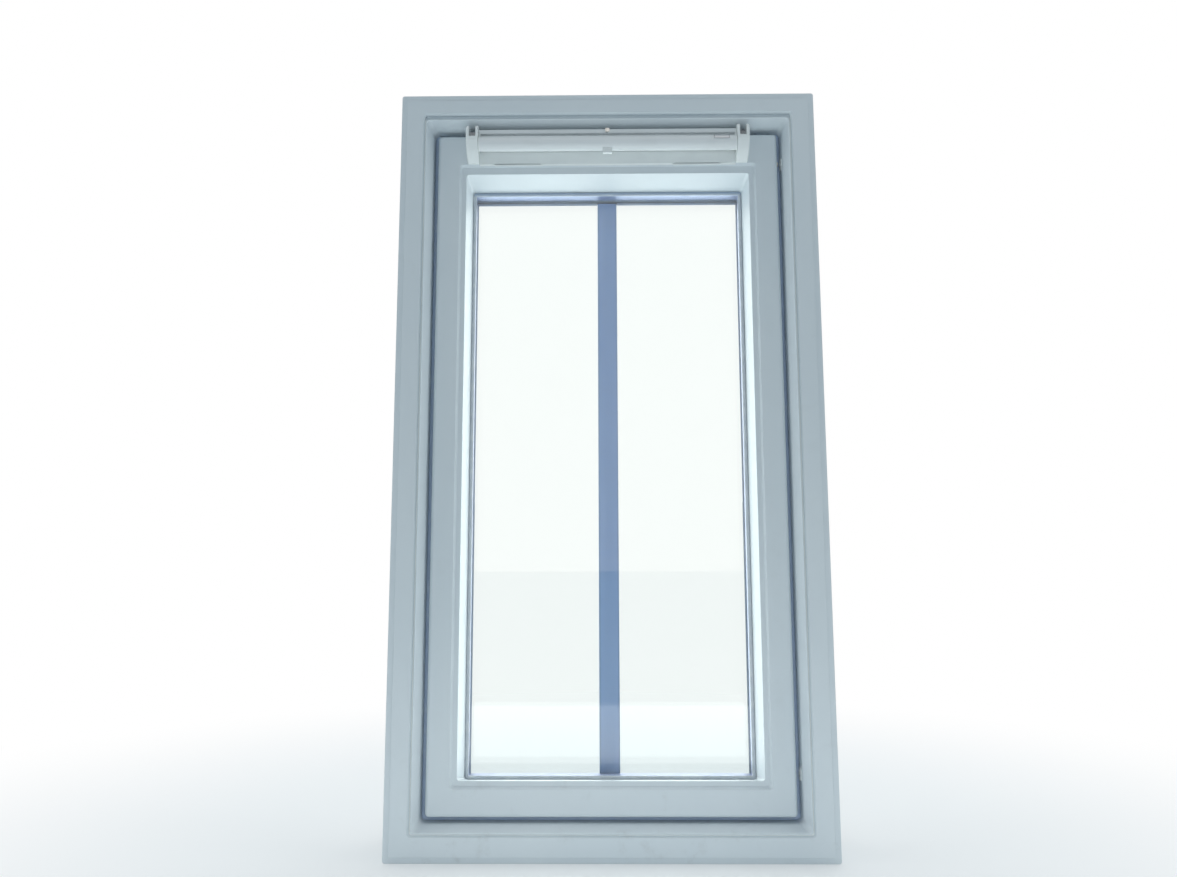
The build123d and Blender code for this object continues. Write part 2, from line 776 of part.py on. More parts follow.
# Brackets at the ends of the control bar, each with a return spring in a pocket that is open in front
bracket_front = sash_y - bracket_proud
bracket_top = sash_top + bracket_above_sash
spring_room = spring_radius + spring_clearance
pocket_height = bracket_top + overcut - bar_axis_z + spring_room
pin_reach = bracket_cheek + spring_width + cap_pin_bearing
for side, sign in (("left", -1), ("right", 1)):
    with BuildPart() as bar_bracket:
        with BuildSketch(Plane.YZ.offset(sign * bracket_inner)):
            with BuildLine():
                foot = Line((sash_y, panel_low), (sash_y - bracket_foot, panel_low))
                under = SagittaArc(foot @ 1, (bracket_front, panel_low + bracket_taper), bracket_swell)
                front = Line(under @ 1, (bracket_front, bracket_top - bracket_crown))
                crown_end = (bracket_front + bracket_crown, bracket_top)
                crown = TangentArc(front @ 1, crown_end, tangent=front % 1)
                Polyline(crown @ 1, (sash_y, bracket_top), (sash_y, panel_low))
            make_face()
        extrude(amount=sign * bracket_width)
        outer_face = bar_bracket.faces().sort_by(Axis.X)[0 if sign < 0 else -1]
        rim = outer_face.edges().filter_by_position(Axis.Y, bracket_front - pick, sash_y - pick)
        chamfer(rim, length=bracket_bevel)
        with BuildSketch(Plane.YZ.offset(sign * (bracket_inner + bracket_cheek))):
            with Locations((bar_axis_y + spring_room, bar_axis_z - spring_room)):
                Rectangle(bracket_proud, pocket_height, align=(Align.MAX, Align.MIN))
        extrude(amount=sign * spring_width, mode=Mode.SUBTRACT)
        with BuildSketch(Plane.YZ.offset(sign * bracket_inner)):
            with Locations((bar_axis_y, bar_axis_z)):
                Circle(cap_pin_radius + cap_pin_clearance)
        extrude(amount=sign * pin_reach, mode=Mode.SUBTRACT)
    bar_bracket.part.label = f"bar_bracket_{side}"
    export_step(bar_bracket.part, f"parts/bar_bracket_{side}.step")

    with BuildPart() as bar_spring:
        with BuildSketch(Plane.YZ.offset(sign * (bracket_inner + bracket_cheek))):
            with Locations((bar_axis_y, bar_axis_z)):
                Circle(spring_radius)
                Circle(cap_pin_radius + spring_clearance, mode=Mode.SUBTRACT)
        extrude(amount=sign * spring_width)
    bar_spring.part.label = f"bar_spring_{side}"
    export_step(bar_spring.part, f"parts/bar_spring_{side}.step")

# Control bar: a hollow rounded section
with BuildPart() as control_bar:
    with BuildSketch(Plane.YZ.offset(-bar_half)):
        with BuildLine():
            ThreePointArc((bar_back_y, bar_low), (bar_front_y, bar_mid_z), (bar_back_y, bar_high))
            Line((bar_back_y, bar_high), (bar_back_y, bar_low))
        make_face()
        offset(amount=-bar_wall, mode=Mode.SUBTRACT)
    extrude(amount=2 * bar_half)
control_bar.part.label = "control_bar"
export_step(control_bar.part, "parts/control_bar.step")

# Flap behind the bar: a channel that closes the air ducts, with a groove between its top strip and the bar
with BuildPart() as vent_flap:
    web_y = bar_back_y + flap_wall
    groove_y = bar_back_y + flap_groove_depth
    groove_top = flap_top - flap_strip_height
    groove_low = bar_high - flap_groove_overlap
    flap_back_y = sash_y - flap_top_gap
    flap_foot_y = sash_y - flap_face_gap
    with BuildSketch(Plane.YZ.offset(-bar_half)):
        with BuildLine():
            Polyline(
                (flap_back_y, flap_top),
                (bar_back_y, flap_top),
                (bar_back_y, groove_top),
                (groove_y, groove_top),
                (groove_y, groove_low),
                (bar_back_y, groove_low),
                (bar_back_y, flap_low),
                (flap_foot_y, flap_low),
                (flap_foot_y, flap_low + flap_wall),
                (web_y, flap_low + flap_wall),
                (web_y, groove_low - flap_wall),
                (groove_y + flap_wall, groove_low - flap_wall),
                (groove_y + flap_wall, flap_top - flap_wall),
                (flap_back_y, flap_top - flap_wall),
                close=True,
            )
        make_face()
    extrude(amount=2 * bar_half)
vent_flap.part.label = "vent_flap"
export_step(vent_flap.part, "parts/vent_flap.step")

# Small latch tongue in front of the flap's top strip
with BuildPart() as flap_tongue:
    with BuildSketch(facing(bar_back_y)):
        with Locations((0, flap_top + tongue_above_flap)):
            Rectangle(tongue_width, tongue_height, align=(Align.CENTER, Align.MAX))
    extrude(amount=tongue_thickness)
    tongue_nose = flap_tongue.edges().filter_by(Axis.X).group_by(Axis.Z)[-1].sort_by(Axis.Y)[0]
    chamfer(tongue_nose, length=tongue_thickness / 2)
flap_tongue.part.label = "flap_tongue"
export_step(flap_tongue.part, "parts/flap_tongue.step")

# End caps of the bar, with the pins that it turns on
for side, sign in (("left", -1), ("right", 1)):
    with BuildPart() as bar_cap:
        with BuildSketch(Plane.YZ.offset(sign * bar_half)):
            with BuildLine():
                ThreePointArc((bar_back_y, bar_low), (bar_front_y, bar_mid_z), (bar_back_y, bar_high))
                Polyline(
                    (bar_back_y, bar_high),
                    (bar_back_y, flap_top),
                    (flap_back_y - cap_set_in, flap_top),
                    (flap_back_y - cap_set_in, flap_low),
                    (bar_back_y, flap_low),
                    (bar_back_y, bar_low),
                )
            make_face()
        extrude(amount=sign * cap_thickness)
        with BuildSketch(Plane.YZ.offset(sign * (bar_half + cap_thickness))):
            with Locations((bar_axis_y, bar_axis_z)):
                Circle(cap_pin_radius)
        extrude(amount=sign * pin_reach)
    bar_cap.part.label = f"bar_cap_{side}"
    export_step(bar_cap.part, f"parts/bar_cap_{side}.step")

# Small tab under the middle of the bar
with BuildPart() as bar_tab:
    with BuildSketch(Plane.YZ.offset(-tab_width / 2)):
        with BuildLine():
            Polyline(
                (bar_back_y - tab_thickness, bar_low - tab_drop),
                (bar_back_y, bar_low - tab_drop),
                (bar_back_y, bar_low + tab_root),
                (bar_back_y - tab_thickness, bar_low + tab_root),
                close=True,
            )
        make_face()
        with BuildLine():
            ThreePointArc((bar_back_y, bar_low), (bar_front_y, bar_mid_z), (bar_back_y, bar_high))
            Line((bar_back_y, bar_high), (bar_back_y, bar_low))
        make_face(mode=Mode.SUBTRACT)
    extrude(amount=tab_width)
bar_tab.part.label = "bar_tab"
export_step(bar_tab.part, "parts/bar_tab.step")

# Bare data plate on the bar, bent to its curve
with BuildPart() as id_plate:
    plate_end = bar_half - plate_from_bar_end
    with BuildSketch(Plane.YZ.offset(plate_end - plate_width)):
        with BuildLine():
            inner_arc = CenterArc(
                (bar_arc_y, bar_mid_z), bar_arc, 180 - plate_high_deg, plate_high_deg - plate_low_deg
            )
            outer_arc = CenterArc(
                (bar_arc_y, bar_mid_z),
                bar_arc + plate_thickness,
                180 - plate_high_deg,
                plate_high_deg - plate_low_deg,
            )
            Line(inner_arc @ 0, outer_arc @ 0)
            Line(inner_arc @ 1, outer_arc @ 1)
        make_face()
    extrude(amount=plate_width)
id_plate.part.label = "id_plate"
export_step(id_plate.part, "parts/id_plate.step")

# Outside covers of the frame: folded sheets
hood_section = folded_sheet(
    (frame_cover_y - top_cover_lip, hood_low + sheet),
    (frame_cover_y - sheet, hood_low + sheet),
    (frame_cover_y - sheet, frame_height),
    (frame_cover_y - sheet - top_cover_return, frame_height),
)
with BuildPart() as frame_top_cover:
    with BuildSketch(Plane.YZ.offset(-half_frame - sheet)):
        add(hood_section)
    extrude(amount=frame_width + 2 * sheet)
    hood_back = frame_cover_y - sheet - top_cover_return
    for x in (-half_frame - sheet, half_frame):
        with BuildSketch(Plane.YZ.offset(x)):
            with Locations(((hood_back + frame_cover_y) / 2, (hood_low + frame_height) / 2)):
                Rectangle(frame_cover_y - hood_back, frame_height - hood_low)
        extrude(amount=sheet)
    for place in cover_screw_places:
        if place.z_dir.Z > 0.5:
            with BuildSketch(place):
                RegularPolygon(screw_hole_radius, screw_sides)
            extrude(amount=2 * sheet, mode=Mode.SUBTRACT)
frame_top_cover.part.label = "frame_top_cover"
export_step(frame_top_cover.part, "parts/frame_top_cover.step")

for side, sign in (("left", -1), ("right", 1)):
    side_section = folded_sheet(
        (half_frame, out_y - cover_side_turn),
        (half_frame, frame_cover_y - sheet),
        (cover_edge_x, frame_cover_y - sheet),
        (cover_edge_x, frame_cover_y - sheet - sash_cover_lip),
        mirrored=sign < 0,
    )
    with BuildPart() as frame_side_cover:
        with BuildSketch(Plane.XY.offset(side_low)):
            add(side_section)
        extrude(amount=side_high - side_low)
        for place in cover_screw_places:
            if place.z_dir.X * sign > 0.5 and place.origin.Z > pivot_z:
                with BuildSketch(place):
                    RegularPolygon(screw_hole_radius, screw_sides)
                extrude(amount=2 * sheet, mode=Mode.SUBTRACT)
    frame_side_cover.part.label = f"frame_side_cover_{side}"
    export_step(frame_side_cover.part, f"parts/frame_side_cover_{side}.step")

    lower_section = folded_sheet(
        (half_frame, out_y - cover_side_turn),
        (half_frame, out_y),
        (lower_cover_x, out_y),
        mirrored=sign < 0,
    )
    with BuildPart() as frame_lower_cover:
        with BuildSketch(Plane.XY.offset(bottom_cover_low)):
            add(lower_section)
        extrude(amount=lower_cover_top - bottom_cover_low)
        for place in cover_screw_places:
            if place.z_dir.X * sign > 0.5 and place.origin.Z < pivot_z:
                with BuildSketch(place):
                    RegularPolygon(screw_hole_radius, screw_sides)
                extrude(amount=2 * sheet, mode=Mode.SUBTRACT)
    frame_lower_cover.part.label = f"frame_lower_cover_{side}"
    export_step(frame_lower_cover.part, f"parts/frame_lower_cover_{side}.step")

with BuildPart() as frame_bottom_cover:
    with BuildSketch(facing(out_y + sheet)):
        with Locations((0, (bottom_cover_low + bottom_cover_high) / 2)):
            Rectangle(2 * (lower_cover_x - cover_joint), bottom_cover_high - bottom_cover_low)
    extrude(amount=sheet)
    for place in cover_screw_places:
        if place.z_dir.Y > 0.5:
            with BuildSketch(place):
                RegularPolygon(screw_hole_radius, screw_sides)
            extrude(amount=2 * sheet, mode=Mode.SUBTRACT)
frame_bottom_cover.part.label = "frame_bottom_cover"
export_step(frame_bottom_cover.part, "parts/frame_bottom_cover.step")

# Screws of the frame's covers, all alike, with six-sided heads
with BuildPart() as cover_screws:
    for place in cover_screw_places:
        seat = place.offset(sheet)
        with BuildSketch(seat):
            RegularPolygon(screw_head_radius, screw_sides)
        extrude(amount=screw_head_height)
        with BuildSketch(seat):
            RegularPolygon(screw_radius, screw_sides)
        extrude(amount=-screw_length)
cover_screws.part.label = "cover_screws"
export_step(cover_screws.part, "parts/cover_screws.step")

# Outside covers of the sash: narrow ones over the glass edge above the pivot, wide ones below it
glass_cover_low = sash_cover_top + cover_joint
glass_cover_high = view_top - cover_joint
side_cover_low = sash_bottom_cover_high + cover_joint
for side, sign in (("left", -1), ("right", 1)):
    narrow_section = folded_sheet(
        (glass_cover_outer - sheet, back_y),
        (glass_cover_outer - sheet, glass_cover_y - sheet),
        (glass_cover_inner + sheet, glass_cover_y - sheet),
        (glass_cover_inner + sheet, glass_out_y),
        mirrored=sign < 0,
    )
    with BuildPart() as glazing_cover:
        with BuildSketch(Plane.XY.offset(glass_cover_low)):
            add(narrow_section)
        extrude(amount=glass_cover_high - glass_cover_low)
    glazing_cover.part.label = f"glazing_cover_{side}"
    export_step(glazing_cover.part, f"parts/glazing_cover_{side}.step")

    wide_section = folded_sheet(
        (sash_cover_x - sheet, sash_cover_y - sash_cover_lip),
        (sash_cover_x - sheet, sash_cover_y - sheet),
        (glass_cover_inner + sheet, sash_cover_y - sheet),
        (glass_cover_inner + sheet, glass_out_y),
        mirrored=sign < 0,
    )
    with BuildPart() as sash_side_cover:
        with BuildSketch(Plane.XY.offset(side_cover_low)):
            add(wide_section)
        extrude(amount=sash_cover_top - side_cover_low)
    sash_side_cover.part.label = f"sash_side_cover_{side}"
    export_step(sash_side_cover.part, f"parts/sash_side_cover_{side}.step")

top_section = folded_sheet(
    (glass_out_y, view_top + sheet),
    (back_y + glass_cover_top_rise - sheet, view_top + sheet),
    (back_y + glass_cover_top_rise - sheet, sash_top - cover_lap),
    (back_y, sash_top - cover_lap),
)
with BuildPart() as glazing_cover_top:
    with BuildSketch(Plane.YZ.offset(-glass_cover_outer)):
        add(top_section)
    extrude(amount=2 * glass_cover_outer)
    # its lower fold reaches the glass only inside the rebate
    with BuildSketch(facing(back_y)):
        for sign in (-1, 1):
            with Locations((sign * (glass_half + glass_cover_outer) / 2, view_top + sheet / 2)):
                Rectangle(glass_cover_outer - glass_half, 2 * sheet)
    extrude(amount=back_y - glass_out_y, mode=Mode.SUBTRACT)
glazing_cover_top.part.label = "glazing_cover_top"
export_step(glazing_cover_top.part, "parts/glazing_cover_top.step")

bottom_section = folded_sheet(
    (sash_cover_y - sash_cover_lip, sash_bottom_cover_low + sheet),
    (sash_cover_y - sheet, sash_bottom_cover_low + sheet),
    (sash_cover_y - sheet, sash_bottom_cover_high - sheet),
    (glass_out_y, sash_bottom_cover_high - sheet),
)
with BuildPart() as sash_bottom_cover:
    with BuildSketch(Plane.YZ.offset(-sash_cover_x)):
        add(bottom_section)
    extrude(amount=2 * sash_cover_x)
    # its upper fold runs down to the glass between the side covers only
    with BuildSketch(Plane.XY.offset(sash_bottom_cover_high - 2 * sheet)):
        for sign in (-1, 1):
            fold_middle = (glass_out_y + sash_cover_y) / 2 - sheet
            with Locations((sign * (glass_cover_inner + sash_cover_x) / 2, fold_middle)):
                Rectangle(sash_cover_x - glass_cover_inner, sash_cover_y - glass_out_y)
    extrude(amount=2 * sheet, mode=Mode.SUBTRACT)
sash_bottom_cover.part.label = "sash_bottom_cover"
export_step(sash_bottom_cover.part, "parts/sash_bottom_cover.step")

# Clips that carry the wide covers on the back of the sash, all alike
with BuildPart() as cover_clips:
    clip_height = sash_cover_y - sheet - back_y
    with BuildSketch(facing(sash_cover_y - sheet)):
        for sign in (-1, 1):
            with Locations(
                (sign * clip_x, side_cover_low + clip_from_end),
                (sign * clip_x, (side_cover_low + sash_cover_top) / 2),
                (sign * clip_x, sash_cover_top - clip_from_end),
                (sign * clip_x, sash_low + clip_length),
                (sign * clip_inner_x, sash_low + clip_length),
            ):
                Rectangle(clip_width, clip_length)
    extrude(amount=clip_height)
cover_clips.part.label = "cover_clips"
export_step(cover_clips.part, "parts/cover_clips.step")
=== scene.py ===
from math import cos, pi, radians

import bmesh
import bpy
from mathutils import Matrix, Vector


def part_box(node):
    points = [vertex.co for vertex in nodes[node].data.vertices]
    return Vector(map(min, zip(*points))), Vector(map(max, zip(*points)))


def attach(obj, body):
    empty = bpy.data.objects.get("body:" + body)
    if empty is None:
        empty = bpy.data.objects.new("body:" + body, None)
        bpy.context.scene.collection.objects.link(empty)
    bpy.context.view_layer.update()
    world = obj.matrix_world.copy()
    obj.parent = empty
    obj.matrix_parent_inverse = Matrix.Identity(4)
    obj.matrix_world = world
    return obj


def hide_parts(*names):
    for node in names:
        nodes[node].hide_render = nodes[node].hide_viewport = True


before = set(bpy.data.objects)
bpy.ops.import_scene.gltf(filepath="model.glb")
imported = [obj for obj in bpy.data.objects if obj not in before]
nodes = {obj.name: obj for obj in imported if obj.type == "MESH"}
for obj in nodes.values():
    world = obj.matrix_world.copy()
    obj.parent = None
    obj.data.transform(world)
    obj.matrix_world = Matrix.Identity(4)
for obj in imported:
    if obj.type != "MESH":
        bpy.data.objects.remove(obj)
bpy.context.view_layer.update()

mergeDistance = 0.000001


# Shader maths: a Wire wraps a socket, and arithmetic on it adds Math nodes
class Wire:
    def __init__(self, tree, socket):
        self.tree = tree
        self.socket = socket

    def maths(self, operation, *values):
        made = self.tree.nodes.new("ShaderNodeMath")
        made.operation = operation
        for place, value in enumerate(values):
            if isinstance(value, Wire):
                self.tree.links.new(value.socket, made.inputs[place])
            else:
                made.inputs[place].default_value = value
        return Wire(self.tree, made.outputs[0])

    def __add__(self, other):
        return self.maths("ADD", self, other)

    def __radd__(self, other):
        return self.maths("ADD", other, self)

    def __sub__(self, other):
        return self.maths("SUBTRACT", self, other)

    def __rsub__(self, other):
        return self.maths("SUBTRACT", other, self)

    def __mul__(self, other):
        return self.maths("MULTIPLY", self, other)

    def __rmul__(self, other):
        return self.maths("MULTIPLY", other, self)

    def __pow__(self, other):
        return self.maths("POWER", self, other)

    def size(self):
        return self.maths("ABSOLUTE", self)

    def wave(self):
        return self.maths("SINE", self)

    def most(self, other):
        return self.maths("MAXIMUM", self, other)


def rgb(red, green, blue):
    return (red, green, blue, 1)


class Finish:
    def __init__(self, name, tree=None):
        if tree is None:
            self.material = bpy.data.materials.new(name)
            self.material.use_nodes = True
            tree = self.material.node_tree
        self.tree = tree
        self.tree.nodes.clear()

    # any node: its type, its settings, which are set first, and the values or links of its sockets
    def node(self, kind, settings, inputs, output=0):
        made = self.tree.nodes.new("ShaderNode" + kind)
        for key, value in settings.items():
            setattr(made, key, value)
        for key, value in inputs.items():
            if isinstance(value, Wire):
                self.tree.links.new(value.socket, made.inputs[key])
            else:
                made.inputs[key].default_value = value
        return Wire(self.tree, made.outputs[output]) if made.outputs else None

    # several outputs of one node
    def outputs(self, wire, *names):
        return [Wire(self.tree, wire.socket.node.outputs[name]) for name in names]

    def place(self):
        return self.node("TexCoord", {}, {}, "Object")

    def axes(self):
        return self.outputs(self.node("SeparateXYZ", {}, {"Vector": self.place()}), "X", "Y", "Z")

    def noise(self, scale, detail=2, stretch=(1, 1, 1), roughness=0.5, distortion=0):
        mapped = self.node("Mapping", {}, {"Vector": self.place(), "Scale": stretch})
        values = {"Vector": mapped, "Scale": scale, "Detail": detail}
        values |= {"Roughness": roughness, "Distortion": distortion}
        return self.node("TexNoise", {}, values)

    def cells(self, scale, output="Distance"):
        return self.node("TexVoronoi", {"feature": "F1"}, {"Vector": self.place(), "Scale": scale}, output)

    # a roughness that a noise of the given size lifts above its least value
    def uneven(self, least, extra, size, detail=3, stretch=(1, 1, 1)):
        return self.noise(size, detail, stretch) * extra + least

    # a soft step: values from low to high run from toLow to toHigh
    def spread(self, value, low, high, toLow=0, toHigh=1):
        values = {"Value": value, "From Min": low, "From Max": high, "To Min": toLow, "To Max": toHigh}
        return self.node("MapRange", {"interpolation_type": "SMOOTHSTEP"}, values)

    def blend(self, factor, first, second):
        return self.node("Mix", {"data_type": "RGBA"}, {0: factor, 6: first, 7: second}, 2)

    # two tones that follow a pattern, fading over the window of its values
    def mottle(self, pattern, window, tones):
        return self.blend(self.spread(pattern, *window), rgb(*tones[0]), rgb(*tones[1]))

    def softEdge(self, radius):
        return self.node("Bevel", {"samples": 4}, {"Radius": radius})

    def bump(self, height, strength, distance, normal=None):
        values = {"Height": height, "Strength": strength, "Distance": distance}
        if normal is not None:
            values["Normal"] = normal
        return self.node("Bump", {}, values)

    def solid(self, **values):
        sockets = {name.replace("_", " "): value for name, value in values.items()}
        return self.done(self.node("BsdfPrincipled", {}, sockets))

    def done(self, shader):
        self.node("OutputMaterial", {}, {"Surface": shader})
        return self.material


# White moulded plastic of the frame and the sash: faint orange peel, slow cloudiness, dust towards the foot.
# Here and below, a roughness holds its least value, what the pattern adds, and the pattern's size
moulding = {
    "tones": ((0.745, 0.80, 0.83), (0.715, 0.775, 0.81)),
    "cloudSize": 7,
    "cloudWindow": (0.38, 0.66),
    "dust": (0.52, 0.54, 0.54),
    "dustSize": 26,
    "dustWindow": (0.56, 0.8),
    "dustHeights": (0.16, 0.03),
    "dustShares": (0.1, 0.55),
    "roughness": (0.36, 0.16, 40),
    "refraction": 1.47,
    "peelSizes": (620, 90),
    "peelShares": (0.5, 0.9),
    "bump": (0.16, 0.0006),
    "edge": 0.0009,
}
# the frame's sides, top and back, which sit in the roof, keep the mould's duller skin
buriedSkin = {
    "colour": (0.60, 0.62, 0.61),
    "side": (0.2744, 0.2749),
    "top": (0.9774, 0.9779),
    "back": (0.0494, 0.0499),
    "flowSize": 18,
    "flowWindow": (0.4, 0.7),
    "share": 0.4,
    "rougher": 0.16,
}


def mouldedWhite(name, buried):
    look = Finish(name)
    x, y, z = look.axes()
    clouds = look.noise(moulding["cloudSize"], 4, (1, 1, 0.45))
    colour = look.mottle(clouds, moulding["cloudWindow"], moulding["tones"])
    settled = look.spread(look.noise(moulding["dustSize"], 5, roughness=0.62), *moulding["dustWindow"])
    settled = settled * look.spread(z, *moulding["dustHeights"], *moulding["dustShares"])
    colour = look.blend(settled, colour, rgb(*moulding["dust"]))
    rough = look.uneven(*moulding["roughness"])
    if buried:
        hidden = look.spread(x.size(), *buriedSkin["side"]).most(look.spread(z, *buriedSkin["top"]))
        hidden = hidden.most(look.spread(y, *buriedSkin["back"]))
        flow = look.noise(buriedSkin["flowSize"], 4, (1, 1, 0.3), distortion=1.2)
        dull = hidden * look.spread(flow, *buriedSkin["flowWindow"]) * buriedSkin["share"]
        colour = look.blend(dull, colour, rgb(*buriedSkin["colour"]))
        rough = rough + hidden * buriedSkin["rougher"]
    fine, coarse = (look.noise(size, 2) for size in moulding["peelSizes"])
    peel = fine * moulding["peelShares"][0] + coarse * moulding["peelShares"][1]
    normal = look.bump(peel, *moulding["bump"], look.softEdge(moulding["edge"]))
    return look.solid(Base_Color=colour, Roughness=rough, Normal=normal, IOR=moulding["refraction"])


# Painted bar and flap: faint drawing lines along the extrusion, greyer where hands take hold
extrusion = {
    "tones": ((0.84, 0.865, 0.87), (0.80, 0.83, 0.84)),
    "lineSize": 260,
    "lineStretch": (0.004, 1, 1),
    "toneWindow": (0.35, 0.7),
    "handled": (0.62, 0.62, 0.60),
    "handledSize": 34,
    "handledWindow": (0.5, 0.75),
    "handledShare": 0.18,
    "roughness": (0.26, 0.14, 55, 3, (0.3, 1, 1)),
    "refraction": 1.48,
    "coat": 0.15,
    "coatRoughness": 0.2,
    "grainSize": 700,
    "grainShare": 0.3,
    "bump": (0.12, 0.0004),
    "edge": 0.0004,
}


def paintedExtrusion():
    look = Finish("white_extrusion_paint")
    lines = look.noise(extrusion["lineSize"], 2, extrusion["lineStretch"])
    colour = look.mottle(lines, extrusion["toneWindow"], extrusion["tones"])
    handled = look.spread(look.noise(extrusion["handledSize"], 4, (0.5, 1, 1)), *extrusion["handledWindow"])
    colour = look.blend(handled * extrusion["handledShare"], colour, rgb(*extrusion["handled"]))
    rough = look.uneven(*extrusion["roughness"])
    grain = look.noise(extrusion["grainSize"], 2) * extrusion["grainShare"]
    normal = look.bump(lines + grain, *extrusion["bump"], look.softEdge(extrusion["edge"]))
    coat = {"Coat_Weight": extrusion["coat"], "Coat_Roughness": extrusion["coatRoughness"]}
    return look.solid(Base_Color=colour, Roughness=rough, Normal=normal, IOR=extrusion["refraction"], **coat)


# Injection-moulded white plastic of brackets, caps, clips and head panel: fine spark texture
fittings = {
    "tones": ((0.885, 0.915, 0.905), (0.85, 0.88, 0.875)),
    "cloudSize": 30,
    "cloudWindow": (0.35, 0.7),
    "roughness": (0.33, 0.15, 80),
    "refraction": 1.47,
    "pitSize": 1500,
    "pitShare": 0.6,
    "grainSize": 1100,
    "bump": (0.14, 0.0003),
    "edge": 0.0005,
}


def fittingPlastic():
    look = Finish("white_fitting_plastic")
    colour = look.mottle(look.noise(fittings["cloudSize"], 3), fittings["cloudWindow"], fittings["tones"])
    rough = look.uneven(*fittings["roughness"])
    grain = look.cells(fittings["pitSize"]) * fittings["pitShare"] + look.noise(fittings["grainSize"], 3)
    normal = look.bump(grain, *fittings["bump"], look.softEdge(fittings["edge"]))
    return look.solid(Base_Color=colour, Roughness=rough, Normal=normal, IOR=fittings["refraction"])


# Coated aluminium covers: fine leather-like coat, run marks of rain, pale dust
covers = {
    "tones": ((0.098, 0.104, 0.108), (0.135, 0.14, 0.142)),
    "patchSize": 8,
    "patchWindow": (0.4, 0.68),
    "dust": (0.30, 0.295, 0.275),
    "streakSize": 38,
    "streakWindow": (0.52, 0.78),
    "streakShare": 0.26,
    "spotSize": 85,
    "spotWindow": (0.12, 0.05),
    "spotPlaces": (0.5, 0.6),
    "spotShare": 0.35,
    "roughness": (0.38, 0.22, 24, 4, (1, 1, 0.25)),
    "metallic": 0.15,
    "grainSizes": (900, 240),
    "bump": (0.2, 0.0003),
    "edge": 0.0005,
}


def coatedCover():
    look = Finish("grey_cover_coat")
    colour = look.mottle(look.noise(covers["patchSize"], 4), covers["patchWindow"], covers["tones"])
    streak = look.spread(look.noise(covers["streakSize"], 5, (1, 1, 0.06), 0.6), *covers["streakWindow"])
    colour = look.blend(streak * covers["streakShare"], colour, rgb(*covers["dust"]))
    spots = look.spread(look.cells(covers["spotSize"]), *covers["spotWindow"])
    spots = spots * look.spread(look.noise(20, 3), *covers["spotPlaces"])
    colour = look.blend(spots * covers["spotShare"], colour, rgb(*covers["dust"]))
    rough = look.uneven(*covers["roughness"])
    fine, coarse = (look.noise(size, 2) for size in covers["grainSizes"])
    normal = look.bump(fine + coarse * 0.5, *covers["bump"], look.softEdge(covers["edge"]))
    return look.solid(Base_Color=colour, Roughness=rough, Normal=normal, Metallic=covers["metallic"])


# Zinc plated steel: spangle, faint brushing, and stain where the plating has dulled
zinc = {
    "spangleSize": 160,
    "spangleWindow": (0.2, 0.8),
    "spangleBump": 0.25,
    "stain": (0.42, 0.38, 0.30),
    "stainSize": 45,
    "stainWindow": (0.55, 0.75),
    "stainShare": 0.3,
    "lineSize": 500,
    "roughness": (0.24, 0.2, 60),
    "metallic": 0.92,
    "bump": (0.15, 0.0002),
    "edge": 0.0004,
}


def zincSteel(name, tones, lineStretch):
    look = Finish(name)
    spangle = look.node("RGBToBW", {}, {"Color": look.cells(zinc["spangleSize"], "Color")})
    colour = look.mottle(spangle, zinc["spangleWindow"], tones)
    stain = look.spread(look.noise(zinc["stainSize"], 5, roughness=0.65), *zinc["stainWindow"])
    colour = look.blend(stain * zinc["stainShare"], colour, rgb(*zinc["stain"]))
    rough = look.uneven(*zinc["roughness"])
    lines = look.noise(zinc["lineSize"], 3, lineStretch)
    normal = look.bump(lines + spangle * zinc["spangleBump"], *zinc["bump"], look.softEdge(zinc["edge"]))
    return look.solid(Base_Color=colour, Roughness=rough, Normal=normal, Metallic=zinc["metallic"])


# Bare data plate: brushed along its length, with a worn rim
plate = {
    "tones": ((0.50, 0.53, 0.56), (0.60, 0.62, 0.64)),
    "toneWindow": (0.3, 0.7),
    "lineSize": 900,
    "lineStretch": (0.03, 1, 1),
    "rim": (0.26, 0.28, 0.31),
    "rimEnds": (0.0016, 0.0010),
    "rimLong": (0.0012, 0.0008),
    "rimShare": 0.55,
    "roughness": (0.3, 0.16),
    "metallic": 0.7,
    "bump": (0.18, 0.0002),
    "edge": 0.0003,
}


def brushedPlate():
    look = Finish("brushed_plate")
    x, y, z = look.axes()
    lines = look.noise(plate["lineSize"], 3, plate["lineStretch"])
    colour = look.mottle(lines, plate["toneWindow"], plate["tones"])
    low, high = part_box("id_plate")
    middle, half = (low + high) / 2, (high - low) / 2
    rim = look.spread((x - middle.x).size(), *(half.x - inset for inset in plate["rimEnds"]))
    rim = rim.most(look.spread((z - middle.z).size(), *(half.z - inset for inset in plate["rimLong"])))
    colour = look.blend(rim * plate["rimShare"], colour, rgb(*plate["rim"]))
    least, extra = plate["roughness"]
    normal = look.bump(lines, *plate["bump"], look.softEdge(plate["edge"]))
    rough = lines * extra + least
    return look.solid(Base_Color=colour, Roughness=rough, Normal=normal, Metallic=plate["metallic"])


# Spacer between the panes: rolled metal with a row of small holes along its middle. The metal's bluish tones
# carry a painted blue cast of light, and the holes' dark tone is painted shade
spacerRoll = {
    "tones": ((0.33, 0.39, 0.56), (0.42, 0.48, 0.65)),
    "toneWindow": (0.3, 0.7),
    "rollSize": 300,
    "holeShade": (0.08, 0.10, 0.16),
    "holePitch": 0.0042,
    "holeWindow": (0.72, 0.95),
    "rowDepth": 0.032,
    "rowHalf": (0.0011, 0.0007),
    "roughness": (0.3, 0.15, 70, 2),
    "metallic": 0.55,
    "bump": (0.3, 0.0004),
}


